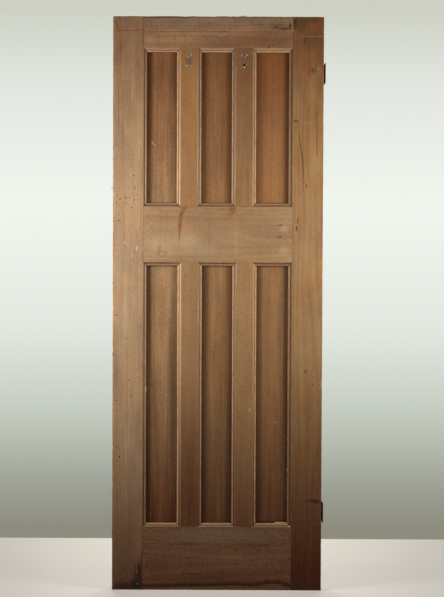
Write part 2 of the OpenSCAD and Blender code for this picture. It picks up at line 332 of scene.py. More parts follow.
def scratch_group():
    """A straight mark from one point to another, whose width may change on the way."""
    sheet, given, result = new_group(
        "Scratch", "ShaderNodeTree",
        [("Vector", "Vector"), ("From", "Vector"), ("To", "Vector"), ("Width", "Float"),
         ("End Width", "Float")],
        [("Mask", "Float")])
    run = sheet.vector("SUBTRACT", given["To"], given["From"])
    away = sheet.vector("SUBTRACT", given["Vector"], given["From"])
    along = sheet.math("DIVIDE", *(sheet.vector("DOT_PRODUCT", way, run) for way in (away, run)))
    held = sheet.math("MINIMUM", sheet.math("MAXIMUM", along, 0.0), 1.0)
    gap = sheet.vector("LENGTH", sheet.vector("SUBTRACT", away, sheet.scaled(run, held)))
    widening = sheet.minus(given["End Width"], given["Width"])
    width = sheet.times_plus(held, widening, given["Width"])
    sheet.feed(result, {"Mask": sheet.ease(gap, width, sheet.times(width, 0.3))})
    return sheet.tree


PINE_FIGURE = pine_figure_group()
BLOT = spot_group("Blot", soft_edge)
WATER_RING = spot_group("Water ring", rim)
SCRATCH = scratch_group()


def blot(x, z, wide, high, colour, strength, edge=0.7, kind=BLOT):
    """A stain on the front: middle, half sizes in mm, colour, how much of it shows, and how soft it is."""
    reach = (wide * MM, 1, high * MM)
    return kind, colour, strength, {"Centre": (x * MM, 0, z * MM), "Reach": reach, "Edge": edge}


def blots(colour, edge, *spots):
    """Several stains of one colour and softness: middle, half sizes in mm, and how much of each shows."""
    return tuple(blot(*spot, colour, strength, edge) for *spot, strength in spots)


def water_ring(x, z, wide, high, thickness, colour, strength):
    """The outline of a dried puddle on the front, as thick as a share of its size."""
    return blot(x, z, wide, high, colour, strength, thickness, WATER_RING)


def scratch(x0, z0, x1, z1, width, colour, strength, end_width=None):
    """A line on the front, in mm, from one point to another."""
    end_width = width if end_width is None else end_width
    return SCRATCH, colour, strength, {
        "From": (x0 * MM, 0, z0 * MM), "To": (x1 * MM, 0, z1 * MM),
        "Width": width * MM, "End Width": end_width * MM}


def scratches(colour, *lines):
    """Several lines of one colour: both ends and width in mm, and how much of each shows."""
    return tuple(scratch(*line[:5], colour, *line[5:]) for line in lines)


def wavy_line(points, width, colour, strength):
    """A line on the front through several points."""
    return tuple(scratch(*a, *b, width, colour, strength) for a, b in zip(points, points[1:]))


def new_material(name):
    """An empty material with its sheet and the shader that ends it."""
    material = bpy.data.materials.new(name)
    material.use_nodes = True
    return material, Sheet(material.node_tree), material.node_tree.nodes["Principled BSDF"]


def bumped(sheet, shader, height, depth):
    """Raises the surface by the height given, up to depth in metres."""
    bump = sheet.first("ShaderNodeBump", {"Height": height, "Distance": depth, "Strength": 0.8})
    sheet.feed(shader, {"Normal": bump})


def figured(sheet, place, grain, shift, heart, spacing):
    """A board's own place, its grain turned along z and unlike any other board's, and its figure."""
    if grain == "x":
        x, y, z = sheet.split(place)
        place = sheet.joined(z, y, x)
    board = sheet.vector("ADD", place, shift)
    figure = sheet.add("ShaderNodeGroup", {"Vector": board, "Heart": heart, "Ring Spacing": spacing},
                       node_tree=PINE_FIGURE)
    return board, figure.outputs


def with_marks(sheet, colour, place, marks):
    """Lays the listed marks over the front's colour, with ragged and broken edges."""
    ragged = sheet.stretched(sheet.shake(place, 140, 3), (0.005, 0, 0.005))
    flat = sheet.stretched(sheet.vector("ADD", place, ragged), (1, 0, 1))
    in_front = sheet.ease(sheet.split(place)[1], -4 * MM, -6 * MM)
    broken = sheet.ease(sheet.noise(place, 260, 4, 0.7), 0.36, 0.56, 0.65, 1.0)
    shows = sheet.times(in_front, broken)
    for kind, mark_colour, strength, inputs in marks:
        mask = sheet.first("ShaderNodeGroup", {"Vector": flat, **inputs}, node_tree=kind)
        colour = sheet.mix(sheet.times(mask, strength, shows), colour, mark_colour)
    return colour


def with_dirt(sheet, colour, place, figure, low_dirt, low_reach, high_dirt, high_reach):
    """Red-brown dirt that thickens towards the foot, old finish towards the head, black at the floor."""
    height = sheet.split(place)[2]
    patchy = sheet.times_plus(figure["Mottle"], 0.3, sheet.minus(height, 0.15))
    grainy = sheet.times_plus(figure["Speckle"], 0.35, 0.58)
    grainy = sheet.times_plus(figure["Streak"], 0.5, grainy)
    low = sheet.times(sheet.ease(patchy, *low_reach), low_dirt, grainy)
    colour = sheet.mix(low, colour, FOOT_TINT, "MULTIPLY")
    high = sheet.times(sheet.ease(patchy, *high_reach), high_dirt)
    colour = sheet.mix(high, colour, HEAD_TINT, "MULTIPLY")
    foot = sheet.times(sheet.ease(patchy, 0.16, -0.05), 0.4 * low_dirt)
    return sheet.mix(foot, colour, BLACK_MOULD)


def with_dark_edges(sheet, colour, mottle, edge_dirt_and_shade):
    """Painted shade, with some dirt, in the corner between a panel and its upright mouldings."""
    for name, strength in zip(("from_left", "from_right"), edge_dirt_and_shade):
        inside = sheet.minus(sheet.attribute(name), EDGE_DIRT_AND_SHADE_SWAY / 2)
        away = sheet.times_plus(mottle, EDGE_DIRT_AND_SHADE_SWAY, inside)
        share = sheet.times(sheet.ease(away, EDGE_DIRT_AND_SHADE_END, EDGE_DIRT_AND_SHADE_START), strength)
        colour = sheet.mix(share, colour, EDGE_DIRT_AND_SHADE_TINT, "MULTIPLY")
    return colour


def weighed(sheet, figure, weights):
    """Patterns that swing round a half, added by weight and kept between 0 and 1."""
    total = 0.5 - sum(weights.values()) / 2
    for name, weight in weights.items():
        total = sheet.times_plus(figure[name], weight, total)
    return sheet.math("MINIMUM", sheet.math("MAXIMUM", total, 0.0), 1.0)


def pine(node, light, dark, shift, heart=(0.05, 0.22, 0), streaky=1.0, patina=0.35, low_dirt=0.6,
         low_reach=FOOT_REACH, high_dirt=0.3, high_reach=HEAD_REACH, edge_dirt_and_shade=None, gritty=0.6,
         clouds=0.4, marks=()):
    """Stripped pine: figure, warm clouds, grey patina, specks, rubbed arrises and dirt, and on panels painted
    shade with some dirt beside the upright mouldings.
    """
    material, sheet, shader = new_material(f"{node} pine".replace("_", " ").capitalize())
    place = sheet.place()
    board, figure = figured(sheet, place, "x" if node in RAILS else "z", shift, heart, RING_SPACING)
    depth = weighed(sheet, figure, {
        "Streak": 1.3 * streaky, "Band": streaky, "Ring": 0.22, "Fibre": 0.7 * gritty, "Mottle": 1.0,
        "Grit": 1.2 * gritty, "Speckle": 1.2 * gritty})
    colour = sheet.mix(depth, tone(*light), tone(*dark))
    cloud = sheet.noise(sheet.stretched(board, (15, 15, 7)), detail=3)
    colour = sheet.mix(sheet.ease(cloud, 0.40, 0.62, 0.0, clouds), colour, WARM_TINT, "MULTIPLY")
    greyed = sheet.times(sheet.ease(figure["Mottle"], 0.42, 0.68), patina)
    colour = sheet.mix(greyed, colour, GREY_PATINA)
    speck = sheet.ease(sheet.noise(sheet.stretched(board, (1, 1, 0.6)), 300, 2), 0.60, 0.67)
    speckled = sheet.ease(figure["Mottle"], 0.3, 0.7, 0.35 * gritty, 1.2 * gritty)
    colour = sheet.mix(sheet.times(speck, speckled), colour, DARK_STAIN)
    colour = with_dirt(sheet, colour, place, figure, low_dirt, low_reach, high_dirt, high_reach)
    dust = sheet.ease(sheet.noise(board, 310, 1), 0.70, 0.77)
    colour = sheet.mix(sheet.times(dust, 0.35), colour, RUBBED_PINE)
    # Painted shade, with some dirt, beside the upright mouldings
    if edge_dirt_and_shade:
        colour = with_dark_edges(sheet, colour, figure["Mottle"], edge_dirt_and_shade)
    colour = with_marks(sheet, colour, place, marks)
    worn = sheet.ease(sheet.noise(place, 45, 4, 0.65), 0.42, 0.62)
    rubbed = sheet.times(sheet.attribute("arris"), sheet.times(worn, 0.45))
    colour = sheet.mix(rubbed, colour, RUBBED_PINE)
    rough = sheet.times_plus(figure["Mottle"], 0.3, 0.52)
    sheet.feed(shader, {"Base Color": colour, "Roughness": rough, "Specular IOR Level": 0.25})
    relief = sheet.times_plus(figure["Ring"], 0.5, figure["Fibre"])
    bumped(sheet, shader, sheet.minus(relief, speck), 0.35 * MM)
    return material


def end_grain(name, light, dark, shift, grain):
    """Sawn ends of the boards: ring arcs, dark pores and dirt."""
    material, sheet, shader = new_material(name)
    place = sheet.place()
    rings = figured(sheet, place, grain, shift, (0.05, 0.08, 0), 3.4 * MM)[1]["Ring"]
    pores = sheet.noise(place, 900, 3)
    depth = sheet.times_plus(rings, 0.6, sheet.times(pores, 0.5))
    colour = sheet.mix(depth, tone(*light), tone(*dark))
    soiled_and_shaded = sheet.ease(sheet.noise(place, 60, 5, 0.6), 0.5, 0.72, 0.0, 0.7)
    colour = sheet.mix(soiled_and_shaded, colour, BLACK_MOULD)
    sheet.feed(shader, {"Base Color": colour, "Roughness": sheet.times_plus(pores, 0.2, 0.72)})
    bumped(sheet, shader, sheet.math("ADD", pores, rings), 0.5 * MM)
    return material


def moulding_pine(name, light, dark, grain, shift, low_dirt, marks):
    """Moulded pine: rubbed lip and bead, old finish in the hollow, and painted shade in the hollow, at the
    panel and on lengths away from the nearer lamp, with painted light in the hollow of lit lengths.
    """
    material, sheet, shader = new_material(name)
    place = sheet.place()
    board, figure = figured(sheet, place, grain, shift, (0.01, 0.05, 0), 3 * MM)
    depth = weighed(sheet, figure, {"Streak": 1.2, "Mottle": 1.4, "Grit": 1.0})
    colour = sheet.mix(depth, tone(*light), tone(*dark))
    across, tall, soil_and_shade, to_end = (sheet.attribute(kept) for kept in MOULDING_VALUES)
    clean_and_lit = sheet.minus(1.0, soil_and_shade)
    patchy = sheet.noise(place, 38, 5, 0.65)
    hollow = sheet.times(sheet.ease(across, 0.10, 0.20), sheet.ease(across, 0.56, 0.46))
    # Old finish in the hollow on the more soiled lengths, and painted shade of the hollow on the lengths that
    # face away from the nearer lamp
    old_finish_and_shade = sheet.times(soil_and_shade, sheet.ease(patchy, 0.3, 0.65, 0.3, 0.9))
    colour = sheet.mix(sheet.times(hollow, old_finish_and_shade), colour, OLD_FINISH_AND_SHADE)
    # Painted light: the hollow of the cleaner lengths, those that face the nearer lamp, turned pale, more so
    # from 0.3 m up to 0.9 m
    up = sheet.split(place)[2]
    painted_light_in_hollow = sheet.times(hollow, sheet.ease(up, 0.3, 0.9, 0.0, 0.85), sheet.math("POWER", clean_and_lit, 3.0))
    colour = sheet.mix(painted_light_in_hollow, colour, BARE_PINE)
    # Painted shade where the moulding meets the panel, darkest at its foot
    foot = sheet.ease(tall, 9 * MM, 2 * MM, 0.0, 0.85)
    colour = sheet.mix(foot, colour, CRACK_SHADE)
    colour = with_dirt(sheet, colour, place, figure, low_dirt, FOOT_REACH, 0.3, HEAD_REACH)
    # Each length darkened by its own value: old finish and dirt, and painted shade on the lengths that face
    # away from the nearer lamp
    lip = sheet.ease(across, 0.16, 0.08)
    soiled_and_shaded = sheet.times(soil_and_shade, sheet.times_plus(lip, -0.6, 0.95))
    colour = sheet.mix(soiled_and_shaded, colour, SOIL_AND_SHADE_TINT, "MULTIPLY")
    crown = sheet.times(sheet.ease(across, 0.52, 0.66), sheet.ease(across, 0.98, 0.84))
    proud = sheet.math("MAXIMUM", crown, sheet.times(lip, sheet.ease(up, 0.35, 0.9, 0.2, 0.4)))
    proud = sheet.times(proud, sheet.ease(tall, 9 * MM, 12 * MM))
    # Lip and crown rub pale more on the cleaner lengths: wear, and painted highlight on the lengths that face
    # the nearer lamp
    bare_and_lit = sheet.times_plus(clean_and_lit, 0.95, 0.05)
    rubbed = sheet.times(proud, bare_and_lit, sheet.ease(patchy, 0.34, 0.62, 0.45, 0.95))
    colour = sheet.mix(rubbed, colour, BARE_PINE)
    flecks = sheet.ease(sheet.noise(sheet.stretched(board, (1, 1, 0.4)), 130, 3, 0.6), 0.62, 0.68)
    flecks = sheet.times(flecks, proud, sheet.times(bare_and_lit, 0.55))
    colour = sheet.mix(flecks, colour, CHALK)
    mitre = sheet.times(sheet.ease(to_end, 5 * MM, 1 * MM), sheet.ease(patchy, 0.3, 0.6, 0.2, 0.65))
    colour = sheet.mix(mitre, colour, CRACK_SHADE)
    colour = with_marks(sheet, colour, place, marks)
    rough = sheet.times_plus(patchy, 0.3, 0.45)
    sheet.feed(shader, {"Base Color": colour, "Roughness": rough, "Specular IOR Level": 0.3})
    bumped(sheet, shader, sheet.math("ADD", figure["Fibre"], patchy), 0.3 * MM)
    return material


def rusty_iron(name, shift):
    """Iron under dark brown rust, with orange bloom and pits."""
    material, sheet, shader = new_material(name)
    place = sheet.vector("ADD", sheet.place(), shift)
    coarse = sheet.noise(place, 160, 6, 0.65)
    fine = sheet.noise(place, 900, 4, 0.6)
    colour = sheet.mix(sheet.ease(coarse, 0.35, 0.65), tone(52, 38, 32), tone(92, 58, 38))
    bloom = sheet.ease(sheet.noise(place, 70, 5, 0.7), 0.56, 0.7, 0.0, 0.8)
    colour = sheet.mix(bloom, colour, tone(132, 74, 38))
    colour = sheet.mix(sheet.ease(fine, 0.58, 0.7, 0.0, 0.6), colour, tone(34, 25, 22))
    rough = sheet.times_plus(coarse, 0.35, 0.5)
    metal = sheet.ease(bloom, 0.4, 0.0, 0.0, 0.55)
    sheet.feed(shader, {"Base Color": colour, "Roughness": rough, "Metallic": metal})
    bumped(sheet, shader, sheet.math("ADD", coarse, fine), 0.35 * MM)
    return material


def patchy_finish(name, scale, detail, change, first, second, rough, metal=None, depth=0):
    """Two colours in small patches, which may be rough by patch, part bare metal and uneven."""
    material, sheet, shader = new_material(name)
    patchy = sheet.noise(sheet.place(), scale, detail, 0.6)
    colour = sheet.mix(sheet.ease(patchy, *change), first, second)
    sheet.feed(shader, {"Base Color": colour, "Roughness": sheet.times_plus(patchy, *rough)})
    if metal:
        sheet.feed(shader, {"Metallic": sheet.ease(patchy, *change, *metal)})
    if depth:
        bumped(sheet, shader, patchy, depth)
    return material


# The dark inside of cracks and old holes, crumbs of old filler, and screws with rust in the slot
HOLLOW = patchy_finish("Dusty hollow", 500, 4, (0.4, 0.7), BLACK_MOULD, DARK_STAIN, (0.1, 0.85))
FILLER = patchy_finish("Chalky filler", 700, 4, (0.35, 0.7), CHALK, tone(158, 138, 118), (0.1, 0.8),
                       depth=0.4 * MM)
STEEL = patchy_finish("Dull screw steel", 420, 5, (0.4, 0.62), tone(96, 86, 78), tone(84, 54, 38),
                      (0.5, 0.3), metal=(0.9, 0.2), depth=0.15 * MM)

# Marks on the front, in mm from the middle of the bottom edge
EDGE_NICKS = ((2066, 9), (2038, 6), (1869, 5), (1752, 6), (1607, 8), (1402, 6), (1296, 4),
              (1118, 7), (862, 8), (655, 6), (402, 5), (214, 7), (122, 9))
FOOT_STAINS = ((-275, 130, 0.7), (-280, 92, 0.8), (-284, 122, 0.75), (-291, 78, 0.7), (-296, 90, 0.55),
               (-303, 54, 0.7), (-308, 74, 0.6), (-317, 36, 0.7), (-326, 48, 0.55), (-338, 32, 0.6),
               (-350, 40, 0.5), (-364, 30, 0.6))
LOCK_STILE_MARKS = (
    blot(-330, 2060, 60, 26, GREY_PATINA, 0.35),
    *(blot(-380, z, 3.5, high, CRACK_SHADE, 0.85, 0.8) for z, high in EDGE_NICKS),
    *wavy_line([(-366, 2031), (-342, 2030), (-281, 2031)], 1.8, DARK_STAIN, 0.65),
    scratch(-291.7, 1253, -294.2, 1239, 2.6, CHALK, 0.85),
    *blots(CHALK, 0.7, (-337.8, 1265, 3, 3, 0.9), (-312.6, 1217, 3.4, 2.6, 0.8), (-287.5, 784.5, 3, 3, 0.9)),
    *blots(RUN_BROWN, 0.9, (-366, 780, 12, 60, 0.3), (-300, 1740, 20, 150, 0.2)),
    blot(-330, 980, 14, 120, PALE_PINE, 0.3, 0.9),
    *scratches(DARK_STAIN, (-381, 857, -362, 855, 2.2, 0.65), (-370, 521, -352, 517.5, 1.8, 0.75),
               (-371, 529, -357, 527, 1.5, 0.6)),
    scratch(-270.8, 2081, -270.8, 1972, 1.6, CRACK_SHADE, 0.8),
    scratch(-270.8, 1394, -270.8, 1198, 1.2, DARK_STAIN, 0.6),
    scratch(-270.8, 230, -270.8, 4, 1.4, CRACK_SHADE, 0.6),
    blot(-286, 50, 24, 70, BLACK_MOULD, 0.6, 0.9),
    *(scratch(x, high, x - 1, 8, 2, BLACK_MOULD, strength, 7) for x, high, strength in FOOT_STAINS),
    *blots(BLACK_MOULD, 0.8, (-283, 80, 9, 30, 0.6), (-330, 12, 66, 20, 0.8), (-294, 22, 26, 28, 0.8)),
    *blots(GREY_PATINA, 0.7, (-335, 52, 5, 4, 0.8), (-327, 36, 5, 4, 0.8), (-292, 68, 4, 9, 0.7),
           (-306, 44, 5, 6, 0.5)),
    blot(-288, 22, 3, 3, CHALK, 0.8),
)
HANGING_STILE_MARKS = (
    blot(325, 2070, 60, 22, UMBER, 0.6),
    blot(276, 2060, 13, 34, CRACK_SHADE, 0.8, 0.8),
    blot(300, 2050, 34, 30, UMBER, 0.75, 0.9),
    *blots(UMBER, 0.8, (296, 2030, 26, 12, 0.5), (312, 2000, 9, 20, 0.75)),
    *blots(UMBER, 0.9, (330, 1995, 60, 60, 0.5), (290, 1850, 18, 60, 0.25), (347, 1890, 26, 18, 0.4)),
    *wavy_line([(288, 1940), (300, 1921), (318, 1908)], 1.5, RUBBED_PINE, 0.3),
    *wavy_line([(306, 1890), (326, 1862), (333, 1840)], 1.5, RUBBED_PINE, 0.25),
    *blots(CLEAN_PINE, 0.9, (336, 1800, 26, 90, 0.35), (345, 1620, 22, 170, 0.3)),
    blot(300, 1300, 24, 110, RUN_BROWN, 0.25, 0.9),
    blot(340, 1150, 30, 70, CLEAN_PINE, 0.2, 0.9),
    blot(310, 930, 34, 60, RUN_BROWN, 0.3, 0.9),
    blot(324, 1700, 3.4, 3.4, RUBBED_PINE, 0.9),
    scratch(270.8, 2081, 270.8, 1972, 1.8, CRACK_SHADE, 0.7),
    scratch(270.8, 1394, 270.8, 1198, 1.2, DARK_STAIN, 0.6),
    scratch(270.8, 230, 270.8, 4, 1.4, CRACK_SHADE, 0.5),
    scratch(301, 2011.6, 377, 2012, 1.6, RUBBED_PINE, 0.6),
    blot(365, 1888, 15, 34, GREY_PATINA, 0.6, 0.9),
    blot(340, 1889, 5, 11, DARK_STAIN, 0.8),
    blot(360.5, 1896.7, 2.4, 3, CHALK, 0.9),
    scratch(357, 1740, 357.7, 1578, 2.4, RED_DIRT, 0.8),
    *scratches(DARK_STAIN, (290, 1352, 288, 1337, 3.2, 0.85), (286.5, 1326, 284, 1309, 3.6, 0.95)),
    *wavy_line([(373, 1368), (375.5, 1330), (372.5, 1290), (375, 1250), (374, 1205)], 2, DARK_STAIN, 0.5),
    blot(320.5, 799, 9, 8, tone(112, 72, 38), 0.9, 0.6),
    blot(350, 330, 42, 10, tone(92, 40, 21), 0.85, 0.8),
    blot(362, 324, 24, 9, tone(66, 27, 14), 0.95, 0.7),
    scratch(322, 326, 350, 327, 3, DARK_STAIN, 0.65),
    blot(364.6, 358, 5, 6, DARK_STAIN, 0.7),
    blot(330, 60, 80, 110, tone(66, 30, 14), 0.4, 0.9),
)
TOP_RAIL_MARKS = (
    *blots(GREY_PATINA, 0.7, (-120, 2057, 170, 32, 0.55), (90, 2062, 150, 24, 0.4)),
    blot(0, 2083, 420, 9, tone(104, 96, 80), 0.75, 0.8),
    *wavy_line([(-255, 2027), (-120, 2028.5), (-24, 2028), (80, 2027.5), (265, 2029.5)],
               1.5, DARK_STAIN, 0.38),
    *wavy_line([(-266, 2079), (-225, 2077), (-180, 2079), (-110, 2077.5)], 4, UMBER, 0.55),
    *blots(RED_BROWN, 0.7, (238, 2039, 30, 8, 0.8), (258, 2048, 9, 20, 0.75)),
    blot(206, 2044, 18, 7, RED_BROWN, 0.6, 0.8),
    blot(150, 2052, 24, 14, UMBER, 0.4, 0.9),
    *(blot(x, z, 2.6, 2.6, CHALK, 0.9) for x, z in (
        (2, 2013), (8, 2019), (15, 2017), (22, 2020), (26, 2016))),
    blot(-250, 1998, 22, 26, CLEAN_PINE, 0.4, 0.9),
    *(scratch(x, 2078, x + 1, 2036, 1.6, UMBER, 0.3) for x in (-243, -176, -72, 18, 60, 122)),
    *scratches(DARK_STAIN, (-215.5, 2022, -215.3, 1973, 1.6, 0.45), (-157.5, 2018, -157.5, 1973, 1.6, 0.4),
               (-121.4, 2020, -121.4, 1973, 1.6, 0.4)),
    blot(182, 1974, 6.5, 6, DARK_STAIN, 0.85, 0.6),
    *blots(RED_DIRT, 0.9, (190, 1992, 190, 60, 0.62), (20, 1986, 170, 46, 0.55)),
    blot(-245, 2000, 24, 22, PALE_PINE, 0.3, 0.9),
    *blots(DARK_STAIN, 0.9, (-150, 2060, 40, 20, 0.22), (-40, 2052, 50, 18, 0.22), (215, 2052, 60, 22, 0.4)),
    scratch(270.8, 2081, 270.8, 1972, 1.6, CRACK_SHADE, 0.7),
)
MIDDLE_RAIL_MARKS = (
    *blots(PALE_PINE, 0.9, (-205, 1255, 80, 60, 0.55), (-110, 1270, 70, 60, 0.5), (-40, 1240, 60, 40, 0.3),
           (240, 1318, 26, 18, 0.45), (240, 1240, 30, 30, 0.35)),
    *blots(RUN_BROWN, 0.9, (60, 1345, 200, 40, 0.22), (170, 1330, 80, 60, 0.22), (-225, 1391, 42, 8, 0.4)),
    *scratches(RUN_BROWN, (-121, 1398, -134, 1366, 16, 0.9, 10), (-134, 1368, -138, 1325, 10, 0.95, 10),
               (-138, 1328, -139, 1280, 10, 0.9, 3), (-139, 1282, -140, 1238, 4, 0.35, 1.5)),
    blot(52, 1390, 20, 12, RUN_BROWN, 0.95, 0.5),
    *scratches(RUN_BROWN, (43, 1382, 27, 1351, 3.6, 0.9, 1.6), (48, 1380, 43, 1350, 3.6, 0.9, 1.6),
               (55, 1380, 50, 1360, 4.5, 0.95, 2), (62, 1384, 64, 1366, 3, 0.7, 1.4)),
    *wavy_line([(-44, 1390), (-28, 1386), (-24, 1380), (-31, 1375)], 2.4, RUN_BROWN, 0.55),
    *wavy_line([(-29, 1374), (-32, 1310), (-30, 1270), (-36, 1216)], 5, RUN_BROWN, 0.2),
    scratch(-205, 1385, -207, 1262, 12, RUN_BROWN, 0.16),
    *wavy_line([(-187, 1385), (-184, 1330), (-191, 1280), (-188, 1225)], 6, RUN_BROWN, 0.17),
    scratch(66, 1352, 67, 1215, 5, PALE_PINE, 0.2),
    *wavy_line([(150, 1390), (147, 1310), (152, 1215)], 6, RUN_BROWN, 0.12),
    blot(-211, 1244, 11, 17, RUN_BROWN, 0.42, 0.5),
    blot(-207, 1228, 14, 9, RUN_BROWN, 0.2, 0.6),
    water_ring(-203, 1225, 16, 9, 0.5, RUN_BROWN, 0.35),
    *blots(DARK_STAIN, 0.7, (-252, 1361, 3.4, 3.4, 0.95), (-240.4, 1320, 3.4, 3.4, 0.95),
           (-240.3, 1279, 3, 3, 0.8)),
    blot(227, 1330, 8, 4, DARK_STAIN, 0.95, 0.6),
    scratch(200, 1327, 226, 1330, 1.6, RUN_BROWN, 0.5),
    blot(226, 1288, 8, 4.4, DARK_STAIN, 0.95, 0.6),
    scratch(212, 1287, 226, 1288, 2, RUN_BROWN, 0.6),
)
FOOT_LINE = ((-268, 15), (-180, 17), (-90, 20), (-5, 21), (74, 24), (125, 21), (153, 22), (185, 30),
             (228, 30), (252, 22), (268, 20))
BOTTOM_RAIL_MARKS = (
    blot(0, 200, 300, 40, GREY_PATINA, 0.4, 0.9),
    blot(-215, 70, 70, 50, BLACK_MOULD, 0.12, 0.9),
    *blots(RED_BROWN, 0.9, (-100, 170, 90, 14, 0.35), (150, 165, 110, 16, 0.35), (-230, 100, 50, 30, 0.15),
           (0, 38, 380, 50, 0.5)),
    blot(40, 112, 200, 24, GREY_PATINA, 0.14, 0.9),
    blot(0, 8, 320, 13, tone(118, 76, 54), 0.45, 0.8),
    scratch(-125, 60, -60, 58, 3, CRACK_SHADE, 0.7),
    # Painted shadow along the top of the worn foot hollow, under its step
    *wavy_line(FOOT_LINE, 11, tone(70, 31, 15), 0.92),
)
UPPER_LEFT_MUNTIN_MARKS = (
    blot(-108, 1926, 18, 32, HOLE_HALO, 0.75),
    blot(-108, 1945, 15, 9, GREY_PATINA, 0.5),
    scratch(-74.3, 1905, -74.3, 1465, 1.4, CHALK, 0.6),
)
UPPER_RIGHT_MUNTIN_MARKS = (
    blot(95, 1924, 19, 32, HOLE_HALO, 0.75),
    blot(97, 1903, 11, 14, DARK_STAIN, 0.55),
    scratch(108, 1530, 109, 1403, 5, DARK_STAIN, 0.35),
    scratch(63.3, 1905, 63.3, 1465, 1.3, CHALK, 0.5),
)
LOWER_LEFT_MUNTIN_MARKS = (
    scratch(-70.3, 1060, -70.3, 975, 1.3, CHALK, 0.6),
)
LOWER_RIGHT_MUNTIN_MARKS = (
    blot(119, 659, 7, 9, PALE_PINE, 0.6, 0.6),
    blot(119, 642, 6, 5, GREY_PATINA, 0.5, 0.6),
    scratch(67.3, 1195, 67.3, 1110, 1.3, CHALK, 0.6),
)
LOWER_LEFT_PANEL_MARKS = (
    *blots(DARK_STAIN, 0.9, (-164, 740, 26, 420, 0.6), (-160, 1020, 16, 90, 0.25)),
)
UPPER_LEFT_PANEL_MARKS = (
    blot(-160, 1850, 22, 130, DARK_STAIN, 0.45, 0.9),
    blot(-205, 1900, 30, 60, UMBER, 0.3, 0.9),
    *scratches(DARK_STAIN, (-196, 1880, -198, 1560, 4, 0.22), (-178, 1930, -179, 1700, 3, 0.25)),
    scratch(-242, 1631, -226, 1617, 2, CHALK, 0.75),
    *blots(RUBBED_PINE, 0.7, (-169.6, 1604, 3, 2.6, 0.9), (-158.7, 1604, 3, 2.6, 0.9),
           (-234.5, 1437, 2.4, 2.4, 0.9), (-247, 1472, 2.4, 2.4, 0.9)),
)
UPRIGHT_MOULDING_MARKS = (
    blot(-259, 734, 3, 15, CHALK, 0.9, 0.5),
    *(blot(254, z, 2.6, high, CHALK, 0.8, 0.5) for z, high in (
        (554, 6), (520, 5), (440, 9), (408, 6), (372, 8), (340, 7))),
    *(blot(-81, z, 2.4, high, CHALK, 0.7, 0.5) for z, high in (
        (1870, 14), (1800, 20), (1720, 12), (980, 16), (700, 10))),
)
CROSS_MOULDING_MARKS = (
    blot(264, 235, 5, 4, CHALK, 0.9, 0.5),
)
LOWER_RIGHT_PANEL_MARKS = (
    # Painted shade on the panel just above the bottom moulding, along the crease
    *scratches(CRACK_SHADE, (143, 248.5, 212, 248.5, 4.5, 0.95), (214, 252, 258, 252, 4, 0.5)),
    blot(213, 612, 2.6, 2.6, CHALK, 0.9),
)

